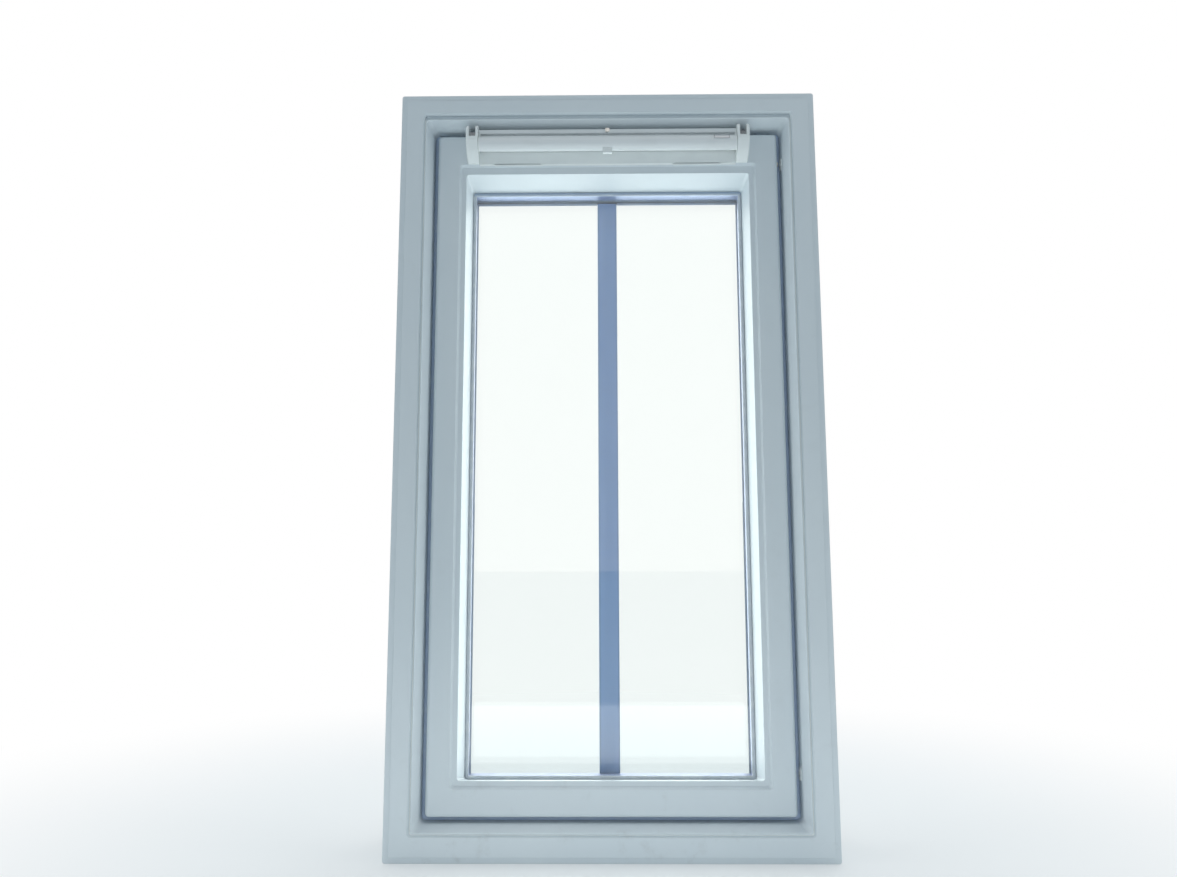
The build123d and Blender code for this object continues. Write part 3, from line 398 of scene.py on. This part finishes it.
def spacerMetal():
    look = Finish("spacer_metal")
    x, y, z = look.axes()
    shadedHoles = look.spread(((x + z) * (2 * pi / spacerRoll["holePitch"])).wave(), *spacerRoll["holeWindow"])
    shadedHoles = shadedHoles * look.spread((y - spacerRoll["rowDepth"]).size(), *spacerRoll["rowHalf"])
    roll = look.noise(spacerRoll["rollSize"], 2, (0.2, 1, 0.2))
    colour = look.mottle(roll, spacerRoll["toneWindow"], spacerRoll["tones"])
    # painted shade: the holes are darkened, standing in for their depth
    colour = look.blend(shadedHoles, colour, rgb(*spacerRoll["holeShade"]))
    rough = look.uneven(*spacerRoll["roughness"])
    normal = look.bump(roll - shadedHoles, *spacerRoll["bump"])
    return look.solid(Base_Color=colour, Roughness=rough, Normal=normal, Metallic=spacerRoll["metallic"])


# Rubber seal in the gap: matt, faintly ribbed along, with grey bloom.
# Its tones are paler and bluer than rubber: painted light, a blue cast that keeps it showing blue in the deep
# gap
sealLook = {
    "tones": ((0.56, 0.67, 0.86), (0.64, 0.73, 0.87)),
    "bloomSize": 60,
    "bloomWindow": (0.45, 0.75),
    "roughness": (0.55, 0.2, 120),
    "ribSize": 260,
    "ribStretch": (0.05, 4, 0.05),
    "grainSize": 900,
    "grainShare": 0.4,
    "bump": (0.35, 0.0005),
}
rubberRefraction = 1.5


def sealRubber():
    look = Finish("seal_rubber")
    bloom = look.noise(sealLook["bloomSize"], 5, roughness=0.65)
    colour = look.mottle(bloom, sealLook["bloomWindow"], sealLook["tones"])
    rough = look.uneven(*sealLook["roughness"])
    ribs = look.noise(sealLook["ribSize"], 1, sealLook["ribStretch"])
    grain = look.noise(sealLook["grainSize"], 2) * sealLook["grainShare"]
    normal = look.bump(ribs + grain, *sealLook["bump"])
    return look.solid(Base_Color=colour, Roughness=rough, Normal=normal, IOR=rubberRefraction)


# Gasket round the glass: grey with a slight bloom, and painted shade on its head run, which is darker and bluer
gasketLook = {
    "tones": ((0.56, 0.60, 0.65), (0.66, 0.69, 0.71)),
    "bloomSize": 70,
    "bloomWindow": (0.4, 0.72),
    # the painted shade colour of the head run
    "head": (0.34, 0.42, 0.55),
    "shadedHeadHeights": (0.862, 0.868),
    "roughness": (0.5, 0.18, 150),
    "grainSize": 800,
    "bump": (0.25, 0.0003),
    "edge": 0.0004,
}


def gasketRubber():
    look = Finish("gasket_rubber")
    x, y, z = look.axes()
    colour = look.mottle(look.noise(gasketLook["bloomSize"], 4), gasketLook["bloomWindow"], gasketLook["tones"])
    # painted shade: the run at the head is blended darker and bluer
    colour = look.blend(look.spread(z, *gasketLook["shadedHeadHeights"]), colour, rgb(*gasketLook["head"]))
    rough = look.uneven(*gasketLook["roughness"])
    grain = look.noise(gasketLook["grainSize"], 3)
    normal = look.bump(grain, *gasketLook["bump"], look.softEdge(gasketLook["edge"]))
    return look.solid(Base_Color=colour, Roughness=rough, Normal=normal, IOR=rubberRefraction)


# Pale butyl tape at the glass edge: soft, slightly uneven, with dust caught along it. Its bluish tones are
# partly the tape's own and partly a painted blue cast of light
tapeLook = {
    "tones": ((0.50, 0.59, 0.76), (0.62, 0.69, 0.81)),
    "oozeSize": 120,
    "oozeWindow": (0.35, 0.7),
    "dust": (0.40, 0.43, 0.48),
    "dustSize": 420,
    "dustWindow": (0.58, 0.75),
    "dustShare": 0.5,
    "roughness": (0.5, 0.2, 90),
    "grainSize": 700,
    "grainShare": 0.3,
    "bump": (0.3, 0.0004),
}


def edgeTape():
    look = Finish("edge_tape")
    ooze = look.noise(tapeLook["oozeSize"], 4, (0.25, 1, 0.25))
    colour = look.mottle(ooze, tapeLook["oozeWindow"], tapeLook["tones"])
    dusty = look.spread(look.noise(tapeLook["dustSize"], 3), *tapeLook["dustWindow"])
    colour = look.blend(dusty * tapeLook["dustShare"], colour, rgb(*tapeLook["dust"]))
    rough = look.uneven(*tapeLook["roughness"])
    grain = look.noise(tapeLook["grainSize"], 2) * tapeLook["grainShare"]
    normal = look.bump(ooze + grain, *tapeLook["bump"])
    return look.solid(Base_Color=colour, Roughness=rough, Normal=normal, IOR=rubberRefraction)


# Open foam of the air filters
foamLook = {
    "tones": ((0.07, 0.075, 0.08), (0.24, 0.25, 0.255)),
    "poreSize": 700,
    "poreWindow": (0.15, 0.6),
    "dust": (0.33, 0.32, 0.30),
    "dustSize": 90,
    "dustWindow": (0.5, 0.75),
    "dustShare": 0.4,
    "roughness": 0.95,
    "bump": (0.7, 0.001),
}


def filterFoam():
    look = Finish("filter_foam")
    pores = look.cells(foamLook["poreSize"])
    colour = look.mottle(pores, foamLook["poreWindow"], foamLook["tones"])
    dusty = look.spread(look.noise(foamLook["dustSize"], 3), *foamLook["dustWindow"])
    colour = look.blend(dusty * foamLook["dustShare"], colour, rgb(*foamLook["dust"]))
    normal = look.bump(pores, *foamLook["bump"])
    return look.solid(Base_Color=colour, Roughness=foamLook["roughness"], Normal=normal)


# Window glass: sharp mirror over clear, with a faint green body and wiped smears
glassLook = {
    "roomTint": (0.985, 0.995, 0.99),
    "outerTint": (0.98, 0.993, 0.988),
    "smearSize": 14,
    "smearWindow": (0.55, 0.8),
    "roughness": (0.015, 0.12),
    "mirrorLeast": 0.04,
    "mirrorPower": 5,
}


def windowGlass(name, tint):
    look = Finish(name)
    clear = look.node("BsdfTransparent", {}, {"Color": rgb(*tint)})
    smear = look.spread(look.noise(glassLook["smearSize"], 5, (1, 1, 0.5), 0.6), *glassLook["smearWindow"])
    least, extra = glassLook["roughness"]
    shine = look.node("BsdfGlossy", {}, {"Color": rgb(1, 1, 1), "Roughness": smear * extra + least})
    facing = look.node("LayerWeight", {}, {"Blend": 0.5}, "Facing")
    share = facing ** glassLook["mirrorPower"] * (1 - glassLook["mirrorLeast"]) + glassLook["mirrorLeast"]
    return look.done(look.node("MixShader", {}, {0: share, 1: clear, 2: shine}))


# Upright bar on the glass: coated outside, with a bedding strip against the pane. The strip's pale blue is
# painted glare light, and painted shade darkens it along the bar's long edges
barLook = {
    "coatTones": ((0.098, 0.104, 0.108), (0.17, 0.172, 0.168)),
    "coatWindow": (0.4, 0.75),
    "streakSize": 40,
    "stripGlareTones": ((0.27, 0.42, 0.76), (0.34, 0.49, 0.82)),
    "stripWindow": (0.35, 0.7),
    "stripSize": 30,
    "stripDepths": (0.0012, 0.0006),
    "stripEdgeShade": (0.18, 0.29, 0.52),
    "edgeShadeInsets": (0.0024, 0.0016),
    "edgeShadeShare": 0.5,
    "roughness": (0.4, 0.2, 60),
    "refraction": 1.5,
    "grainSize": 800,
    "bump": (0.2, 0.0003),
    "edge": 0.0005,
}


def glazingBarFinish():
    look = Finish("glazing_bar_coat")
    x, y, z = look.axes()
    low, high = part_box("glazing_bar")
    # painted light: the side against the pane takes a pale blue glare tone
    beddedGlareSide = look.spread(y, *(low.y + depth for depth in barLook["stripDepths"]))
    streak = look.noise(barLook["streakSize"], 5, (1, 1, 0.05), 0.6)
    coat = look.mottle(streak, barLook["coatWindow"], barLook["coatTones"])
    uneven = look.noise(barLook["stripSize"], 4, (1, 1, 0.12))
    stripGlare = look.mottle(uneven, barLook["stripWindow"], barLook["stripGlareTones"])
    # painted shade: darker blue towards the bar's long edges
    rim = look.spread(x.size(), *(high.x - inset for inset in barLook["edgeShadeInsets"]))
    stripGlare = look.blend(rim * barLook["edgeShadeShare"], stripGlare, rgb(*barLook["stripEdgeShade"]))
    rough = look.uneven(*barLook["roughness"])
    normal = look.bump(look.noise(barLook["grainSize"], 2), *barLook["bump"], look.softEdge(barLook["edge"]))
    colour = look.blend(beddedGlareSide, coat, stripGlare)
    return look.solid(Base_Color=colour, Roughness=rough, Normal=normal, IOR=barLook["refraction"])


frameWhite = mouldedWhite("frame_moulding", True)
sashWhite = mouldedWhite("sash_moulding", False)
barPaint = paintedExtrusion()
fittingWhite = fittingPlastic()
coverCoat = coatedCover()
hingeZinc = zincSteel("hinge_zinc", ((0.52, 0.54, 0.57), (0.64, 0.65, 0.66)), (1, 1, 0.05))
lockZinc = zincSteel("lock_zinc", ((0.56, 0.55, 0.50), (0.66, 0.65, 0.62)), (0.05, 1, 1))
springSteel = zincSteel("spring_wire", ((0.36, 0.37, 0.40), (0.50, 0.51, 0.54)), (1, 0.3, 0.3))
plateMetal = brushedPlate()
spacer = spacerMetal()
rubber = sealRubber()
gasket = gasketRubber()
foam = filterFoam()
tapeFinish = edgeTape()
roomGlass = windowGlass("room_pane_glass", glassLook["roomTint"])
outerGlass = windowGlass("outer_pane_glass", glassLook["outerTint"])
barCoat = glazingBarFinish()

finishes = {
    "outer_frame": frameWhite,
    "sash_frame": sashWhite,
    "frame_seal": rubber,
    "glazing_gasket": gasket,
    "striker_plate": lockZinc,
    "latch_bolt": lockZinc,
    "flap_tongue": lockZinc,
    "lock_case": lockZinc,
    "barrel_bolt": lockZinc,
    "cover_screws": lockZinc,
    "bolt_sleeve": fittingWhite,
    "bolt_bushes": fittingWhite,
    "head_cover": fittingWhite,
    "bar_tab": fittingWhite,
    "cover_clips": fittingWhite,
    "control_bar": barPaint,
    "vent_flap": barPaint,
    "id_plate": plateMetal,
    "pane_spacer": spacer,
    "inner_pane": roomGlass,
    "outer_pane": outerGlass,
    "glazing_bar": barCoat,
    "frame_top_cover": coverCoat,
    "frame_bottom_cover": coverCoat,
    "glazing_cover_top": coverCoat,
    "sash_bottom_cover": coverCoat,
}
pairedFinishes = {
    "frame_hinge_": hingeZinc,
    "sash_hinge_": hingeZinc,
    "vent_filter_": foam,
    "bar_bracket_": fittingWhite,
    "bar_cap_": fittingWhite,
    "bar_spring_": springSteel,
    "frame_side_cover_": coverCoat,
    "frame_lower_cover_": coverCoat,
    "glazing_cover_": coverCoat,
    "sash_side_cover_": coverCoat,
}
for side in ("left", "right"):
    finishes |= {part + side: finish for part, finish in pairedFinishes.items()}

for name, piece in nodes.items():
    piece.data.materials.clear()
    piece.data.materials.append(finishes[name])
print("finishes made:", len(set(finishes.values())))


def meshFrom(bm, name):
    mesh = bpy.data.meshes.new(name)
    bm.to_mesh(mesh)
    bm.free()
    return mesh


# New pieces: a finished bmesh becomes an object that rides a body and takes its finish from a slot
def makePiece(name, bm, finish, body, replaced=()):
    bmesh.ops.remove_doubles(bm, verts=bm.verts, dist=mergeDistance)
    bmesh.ops.recalc_face_normals(bm, faces=bm.faces)
    mesh = meshFrom(bm, name)
    mesh.materials.append(finish)
    piece = bpy.data.objects.new(name, mesh)
    bpy.context.scene.collection.objects.link(piece)
    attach(piece, body)
    if replaced:
        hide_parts(*replaced)
    print("made", name, len(mesh.polygons), "faces")
    return piece


# everything in a bmesh, as bisect_plane takes it
def wholeOf(bm):
    return bm.verts[:] + bm.edges[:] + bm.faces[:]


def closeHoles(bm):
    bmesh.ops.holes_fill(bm, edges=[edge for edge in bm.edges if edge.is_boundary], sides=0)


# A closed section swept round a rectangle: its edges are extruded from each point of the section to the next.
# Each point is its reach inwards and its depth; the bottom run takes lowShare of the reach
def ringSweep(bm, section, halfWide, low, high, lowShare=1, corner=0):
    middle = (low + high) / 2
    cornerPlaces = ((-halfWide, low), (halfWide, low), (halfWide, high), (-halfWide, high))
    corners = [bm.verts.new((x, 0, z)) for x, z in cornerPlaces]
    edges = [bm.edges.new((corners[place - 1], corners[place])) for place in range(4)]
    for step, (reach, depth) in enumerate(list(section) + [section[0]]):
        if step:
            grown = bmesh.ops.extrude_edge_only(bm, edges=edges)["geom"]
            corners = [part for part in grown if isinstance(part, bmesh.types.BMVert)]
            edges = [part for part in grown if isinstance(part, bmesh.types.BMEdge)]
            edges = [edge for edge in edges if edge.verts[0] in corners and edge.verts[1] in corners]
        for vert in corners:
            vert.co.x = halfWide - reach if vert.co.x > 0 else reach - halfWide
            vert.co.z = high - reach if vert.co.z > middle else low + reach * lowShare
            vert.co.y = depth
    bmesh.ops.remove_doubles(bm, verts=bm.verts, dist=mergeDistance)
    if corner:
        longestTurn = 0.02
        turns = [edge for edge in bm.edges if edge.calc_length() < longestTurn]
        bmesh.ops.bevel(bm, geom=turns, offset=corner, segments=4, profile=0.5, affect="EDGES", material=-1)


# Screws: a washer, a domed head with a six-lobed socket, and a pointed shank, spun from one outline
screw = {
    "washer": 0.0038,
    "washerThick": 0.0006,
    "washerEdge": (0.94, 0.7),
    "head": 0.0033,
    "headHigh": 0.00195,
    "dome": ((0.985, 0.52), (0.9, 0.75), (0.72, 0.93)),
    "socket": 0.0013,
    "socketDeep": 0.0009,
    "socketRims": ((1.15, 1), (1, 0.96)),
    "socketFloor": (0.95, 1.15),
    "lobes": 6,
    "lobeDeep": 0.16,
    "shank": 0.00185,
    "point": 0.003,
    "length": 0.0138,
    "steps": 24,
    "top": ((-0.18, 0.04, 0.9792), (0, 0.04, 0.9792), (0.18, 0.04, 0.9792)),
    "bottom": ((-0.12, 0.0512, 0.025), (0.12, 0.0512, 0.025)),
    "sideHeights": (0.062, 0.384, 0.604, 0.8554),
    "sideOut": 0.2762,
    "sideBack": 0.04,
}


def screwMesh(length):
    washer, thick, socket = screw["washer"], screw["washerThick"], screw["socket"]
    edgeOut, edgeUp = screw["washerEdge"]
    floorOut, floorDown = screw["socketFloor"]
    outline = [(0, -length), (screw["shank"], screw["point"] - length), (screw["shank"], 0), (washer, 0)]
    outline += [(washer, thick * edgeUp), (washer * edgeOut, thick), (screw["head"], thick)]
    outline += [(screw["head"] * out, screw["headHigh"] * up) for out, up in screw["dome"]]
    outline += [(socket * out, screw["headHigh"] * up) for out, up in screw["socketRims"]]
    outline += [(socket * floorOut, screw["headHigh"] - screw["socketDeep"])]
    outline += [(0, screw["headHigh"] - screw["socketDeep"] * floorDown)]
    bm = bmesh.new()
    points = [bm.verts.new((radius, 0, height)) for radius, height in outline]
    chain = [bm.edges.new(pair) for pair in zip(points, points[1:])]
    around = {"cent": (0, 0, 0), "axis": (0, 0, 1), "angle": 2 * pi, "steps": screw["steps"], "use_merge": True}
    bmesh.ops.spin(bm, geom=points + chain, **around)
    bmesh.ops.remove_doubles(bm, verts=bm.verts, dist=mergeDistance)
    for vert in bm.verts:
        reach = vert.co.xy.length
        if 0.0001 < reach < socket * 1.02 and vert.co.z > 0:
            bearing = vert.co.xy.angle_signed(Vector((1, 0)))
            vert.co.xy *= 1 - screw["lobeDeep"] + screw["lobeDeep"] * cos(screw["lobes"] * bearing)
    bmesh.ops.recalc_face_normals(bm, faces=bm.faces)
    return meshFrom(bm, "screw_shape")


def placeCopies(bm, mesh, matrices):
    for matrix in matrices:
        old = set(bm.verts)
        bm.from_mesh(mesh)
        bmesh.ops.transform(bm, matrix=matrix, verts=[vert for vert in bm.verts if vert not in old])


# a screw's head points up; it is turned to point back, or out to either side
backward = Matrix.Rotation(-pi / 2, 4, "X")
outward = {-1: Matrix.Rotation(-pi / 2, 4, "Y"), 1: Matrix.Rotation(pi / 2, 4, "Y")}
places = [Matrix.Translation(point) for point in screw["top"]]
places += [Matrix.Translation(point) @ backward for point in screw["bottom"]]
for sign in (-1, 1):
    for height in screw["sideHeights"]:
        places.append(Matrix.Translation((sign * screw["sideOut"], screw["sideBack"], height)) @ outward[sign])
bm = bmesh.new()
placeCopies(bm, screwMesh(screw["length"]), places)
makePiece("cover_screw_set", bm, lockZinc, "frame", ["cover_screws"])

# Hinge fixings: two short screws in each leg on the frame, four flat rivets in each plate on the sash
hingeFixings = {
    "legOut": 0.2462,
    "legFace": 0.053,
    "screwHeights": (0.4805, 0.5075),
    "screwScale": 0.9,
    "shank": 0.002,
    "plateFace": 0.2316,
    "rivet": 0.0027,
    "rivetTaper": 0.93,
    "rivetProud": 0.0003,
    "rivetSunk": 0.0001,
    "rivetRim": 0.5,
    "rivetDish": 0.00012,
    "rivetSides": 24,
    "rivets": ((0.018, 0.469), (0.018, 0.519), (0.038, 0.469), (0.038, 0.519)),
}
shortScrew = screwMesh(hingeFixings["shank"])
for side, sign in (("left", -1), ("right", 1)):
    bm = bmesh.new()
    smaller = backward @ Matrix.Scale(hingeFixings["screwScale"], 4)
    out, back = sign * hingeFixings["legOut"], hingeFixings["legFace"]
    seats = [Matrix.Translation((out, back, height)) @ smaller for height in hingeFixings["screwHeights"]]
    placeCopies(bm, shortScrew, seats)
    makePiece("hinge_screws_" + side, bm, lockZinc, "frame")

    bm = bmesh.new()
    radius = hingeFixings["rivet"]
    thick = hingeFixings["rivetProud"] + hingeFixings["rivetSunk"]
    sizes = {"radius1": radius, "radius2": radius * hingeFixings["rivetTaper"], "depth": thick}
    for depth, height in hingeFixings["rivets"]:
        out = sign * (hingeFixings["plateFace"] - hingeFixings["rivetSunk"])
        seat = Matrix.Translation((out, depth, height)) @ outward[sign] @ Matrix.Translation((0, 0, thick / 2))
        bmesh.ops.create_cone(bm, cap_ends=True, segments=hingeFixings["rivetSides"], matrix=seat, **sizes)
    tops = [face for face in bm.faces if len(face.verts) > 4 and face.normal.x * sign > 0.5]
    inset = {"thickness": radius * hingeFixings["rivetRim"], "depth": -hingeFixings["rivetDish"]}
    bmesh.ops.inset_individual(bm, faces=tops, **inset)
    makePiece("hinge_rivets_" + side, bm, hingeZinc, "sash")

# Return springs in the brackets: round wire wound round the bar's axis, with one straight leg to the rear
spring = {
    "wire": 0.00058,
    "coil": 0.0057,
    "pitch": 0.00142,
    "leg": 0.0055,
    "endRoom": 1.2,
    "turnSteps": 28,
    "wireSides": 8,
}


def coilSpring(side):
    low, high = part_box("bar_spring_" + side)
    middle = (low + high) / 2
    endRoom = spring["wire"] * spring["endRoom"]
    start = Vector((low.x + endRoom, middle.y, middle.z + spring["coil"]))
    steps = int((high.x - low.x - 2 * endRoom) / spring["pitch"] * spring["turnSteps"])
    bm = bmesh.new()
    ring = bmesh.ops.create_circle(bm, segments=spring["wireSides"], radius=spring["wire"])["verts"]
    bmesh.ops.rotate(bm, verts=ring, cent=(0, 0, 0), matrix=Matrix.Rotation(pi / 2, 3, "X"))
    bmesh.ops.translate(bm, verts=ring, vec=start)
    rim = list(bm.edges)
    leg = bmesh.ops.extrude_edge_only(bm, edges=rim)["geom"]
    legEnd = [part for part in leg if isinstance(part, bmesh.types.BMVert)]
    bmesh.ops.translate(bm, verts=legEnd, vec=(0, spring["leg"], 0))
    rise = Vector((spring["pitch"] / spring["turnSteps"], 0, 0))
    winding = {"cent": (start.x, middle.y, middle.z), "axis": (1, 0, 0), "dvec": rise}
    bmesh.ops.spin(bm, geom=ring + rim, angle=2 * pi * steps / spring["turnSteps"], steps=steps, **winding)
    bmesh.ops.holes_fill(bm, edges=bm.edges, sides=spring["wireSides"])
    for face in bm.faces:
        face.smooth = len(face.verts) == 4
    makePiece("return_spring_" + side, bm, springSteel, "sash", ["bar_spring_" + side])


for side in ("left", "right"):
    coilSpring(side)

# Seal in the gap: a foot against the frame and a round bulb towards the sash's side
seal = {
    "halfWide": 0.2353,
    "low": 0.0401,
    "high": 0.9373,
    "lowShare": 0.6,
    "corner": 0.004,
    "section": (
        (0, -0.0066), (0, -0.0132), (0.0008, -0.0139), (0.0022, -0.0140), (0.0037, -0.0136),
        (0.0049, -0.0126), (0.0056, -0.0112), (0.0058, -0.0098), (0.0055, -0.0085), (0.0046, -0.0074),
        (0.0033, -0.0067), (0.0022, -0.0069), (0.0014, -0.0062), (0.0006, -0.0061),
    ),
}
bm = bmesh.new()
ringSweep(bm, seal["section"], seal["halfWide"], seal["low"], seal["high"], seal["lowShare"], seal["corner"])
for face in bm.faces:
    face.smooth = True
makePiece("frame_seal_bulb", bm, rubber, "frame", ["frame_seal"])

# Pale bead in the crease of the frame's room face, down the sides and along the foot
bead = {
    "halfWide": 0.24375,
    "low": 0.03225,
    "high": 0.96,
    "cutHeight": 0.9435,
    "corner": 0.0028,
    "section": (
        (0, -0.0445), (0, -0.0484), (0.0003, -0.0489), (0.0008, -0.0491), (0.0012, -0.0489),
        (0.0015, -0.0484), (0.0015, -0.0445),
    ),
}
bm = bmesh.new()
ringSweep(bm, bead["section"], bead["halfWide"], bead["low"], bead["high"], corner=bead["corner"])
level = {"plane_co": (0, 0, bead["cutHeight"]), "plane_no": (0, 0, 1)}
bmesh.ops.bisect_plane(bm, geom=wholeOf(bm), clear_outer=True, **level)
closeHoles(bm)
makePiece("crease_bead", bm, fittingWhite, "frame")

# Tape on the outer pane under the covers
tape = {
    "face": 0.0440,
    "thick": 0.0007,
    "inner": 0.1858,
    "outer": 0.1955,
    "low": 0.0733,
    "high": 0.8741,
    "lowShare": 0.12,
    "roundIn": 0.0003,
    "roundDown": 0.0002,
    "strips": 6,
}
bm = bmesh.new()
face, raised = tape["face"], tape["face"] + tape["thick"]
wide = tape["outer"] - tape["inner"]
across = [wide * step / tape["strips"] for step in range(1, tape["strips"])]
section = [(0, face), (0, raised - tape["roundDown"]), (tape["roundIn"], raised)]
section += [(reach, raised) for reach in across]
section += [(wide - tape["roundIn"], raised), (wide, raised - tape["roundDown"]), (wide, face)]
section += [(reach, face) for reach in reversed(across)]
ringSweep(bm, section, tape["outer"], tape["low"], tape["high"], lowShare=tape["lowShare"])
makePiece("edge_tape", bm, tapeFinish, "sash")

# Soft lip where the covers' folds end on the glass: deeper at the head, and open at the glazing bar.
# Each point of its section is a share of its width and how far it stays below its full height
lip = {
    "side": 0.0016,
    "head": 0.0036,
    "high": 0.0012,
    "halfWide": 0.1844,
    "low": 0.0763,
    "top": 0.86435,
    "barHalf": 0.0141,
    "section": ((0, 0.0012), (0, 0.0003), (0.1875, 0), (0.5, 0.0001), (0.85, 0.0006), (1, 0.0012)),
}
bm = bmesh.new()
raised = tape["face"] + lip["high"]
section = [(lip["side"] * share, raised - below) for share, below in lip["section"]]
ringSweep(bm, section, lip["halfWide"], lip["low"], lip["top"])
for vert in bm.verts:
    if vert.co.z > lip["top"] - lip["side"] - 0.0001:
        vert.co.z = lip["top"] - (lip["top"] - vert.co.z) * lip["head"] / lip["side"]
for sign in (-1, 1):
    upright = {"plane_co": (sign * lip["barHalf"], 0, 0), "plane_no": (1, 0, 0)}
    bmesh.ops.bisect_plane(bm, geom=wholeOf(bm), **upright)
under = [part for part in bm.faces if abs(part.calc_center_median().x) < lip["barHalf"]]
bmesh.ops.delete(bm, geom=under, context="FACES")
closeHoles(bm)
# the lip takes the tape's finish, with its painted blue cast of light
makePiece("edge_lip", bm, tapeFinish, "sash")
print("new pieces made")


# Stage: a pale floor that fades into a white surround, soft lamps, and the camera of the photograph
stage = {
    "floorSize": 40,
    "floorColour": (0.66, 0.68, 0.69),
    "floorLift": 0.2,
    "fade": (0.35, 1.3),
    "floorFront": (0.64, 0.69, 0.72),
    "floorNear": (0.88, 0.92, 0.93),
    "floorBack": (0.84, 0.88, 0.88),
    "frontToNear": (-1.1, -0.3),
    "nearToBack": (0, 0.4),
    "roomLight": (0.20, 0.25, 0.29),
    "sideLight": (1.45, 1.52, 1.54),
    "backLight": (0.8, 0.83, 0.84),
    "roomToSide": (-0.6, -0.1),
    "sideToBack": (0.5, 0.85),
    "overhead": 0.25,
    "overheadRise": (0.3, 1),
}

bm = bmesh.new()
bmesh.ops.create_grid(bm, x_segments=1, y_segments=1, size=stage["floorSize"] / 2)
floor = bpy.data.objects.new("floor", meshFrom(bm, "floor"))
bpy.context.scene.collection.objects.link(floor)
look = Finish("floor_paint")
x, y, z = look.axes()
away = (x * x + y * y) ** 0.5
ray = look.node("LightPath", {}, {}, "Is Camera Ray")
# seen by the lights, the floor is darker far out on the room's side and paler near the object and behind it
bounce = look.mottle(y, stage["frontToNear"], (stage["floorFront"], stage["floorNear"]))
bounce = look.blend(look.spread(y, *stage["nearToBack"]), bounce, rgb(*stage["floorBack"]))
ground = look.node("BsdfDiffuse", {}, {"Color": look.blend(ray, bounce, rgb(*stage["floorColour"]))})
lift = look.node("Emission", {}, {"Color": rgb(1, 1, 1), "Strength": ray * stage["floorLift"]})
white = look.node("Emission", {}, {"Color": rgb(1, 1, 1), "Strength": 1})
lifted = look.node("AddShader", {}, {0: ground, 1: lift})
fade = look.spread(away, *stage["fade"]) * ray
floor.data.materials.append(look.done(look.node("MixShader", {}, {0: fade, 1: lifted, 2: white})))

# the surround is white to the camera, in mirrors and through glass; its light on the object comes most from
# the sides and least from the room
world = bpy.data.worlds.new("surround")
bpy.context.scene.world = world
world.use_nodes = True
look = Finish("surround", world.node_tree)
direction = look.node("TexCoord", {}, {}, "Generated")
ahead, up = look.outputs(look.node("SeparateXYZ", {}, {"Vector": direction}), "Y", "Z")
light = look.mottle(ahead, stage["roomToSide"], (stage["roomLight"], stage["sideLight"]))
light = look.blend(look.spread(ahead, *stage["sideToBack"]), light, rgb(*stage["backLight"]))
light = look.blend(look.spread(up, *stage["overheadRise"]) * stage["overhead"], light, rgb(0, 0, 0))
path = look.node("LightPath", {}, {})
toCamera, inGloss, throughGlass = look.outputs(path, "Is Camera Ray", "Is Glossy Ray", "Is Transmission Ray")
seen = toCamera.most(inGloss).most(throughGlass)
background = look.node("Background", {}, {"Color": look.blend(seen, light, rgb(1, 1, 1)), "Strength": 1})
look.node("OutputWorld", {}, {"Surface": background})

# daylight: a high soft lamp behind, its glow off the floor in front, and a panel close behind the glass
# that shines into the room only
lamps = {
    "skyLamp": {
        "place": (0.5, 1.9, 2.5),
        "target": (0, 0, 0.5),
        "size": (1.8, 1.4),
        "power": 8,
        "colour": (0.96, 0.985, 1),
    },
    "floorGlow": {
        "place": (0, -0.36, 0.06),
        "target": (0, 0, 0.05),
        "size": (0.7, 0.1),
        "power": 0.2,
        "colour": (0.97, 0.985, 1),
    },
    "glassPanel": {
        "place": (0, 0.064, 0.475),
        "target": (0, -1, 0.475),
        "size": (0.36, 0.77),
        "power": 1.55,
        "colour": (0.96, 0.99, 1),
    },
}
for name, values in lamps.items():
    data = bpy.data.lights.new(name, "AREA")
    data.shape = "RECTANGLE"
    data.size, data.size_y = values["size"]
    data.energy = values["power"]
    data.color = values["colour"]
    lamp = bpy.data.objects.new(name, data)
    bpy.context.scene.collection.objects.link(lamp)
    lamp.location = values["place"]
    lamp.rotation_mode = "QUATERNION"
    lamp.rotation_quaternion = (Vector(values["target"]) - Vector(values["place"])).to_track_quat("-Z", "Y")
    lamp.visible_camera = False

# the camera's focus and picture width are in pixels, its place in metres, its turns in degrees
photo = {
    "width": 1177,
    "focus": 884,
    "place": (-0.0149, -1.1634, 0.3651),
    "yaw": -0.58,
    "pitch": 7.57,
    "roll": -0.13,
    "sensor": 36,
    "nearest": 0.01,
}
cameraData = bpy.data.cameras.new("camera")
cameraData.sensor_width = photo["sensor"]
cameraData.lens = photo["focus"] / photo["width"] * cameraData.sensor_width
cameraData.clip_start = photo["nearest"]
camera = bpy.data.objects.new("camera", cameraData)
bpy.context.scene.collection.objects.link(camera)
turn = Matrix.Rotation(radians(-photo["yaw"]), 4, "Z")
tilt = Matrix.Rotation(radians(90 + photo["pitch"]), 4, "X")
roll = Matrix.Rotation(radians(photo["roll"]), 4, "Z")
camera.matrix_world = Matrix.Translation(photo["place"]) @ turn @ tilt @ roll
bpy.context.scene.camera = camera
bpy.context.scene.view_settings.view_transform = "Standard"
print("stage, lamps and camera made")
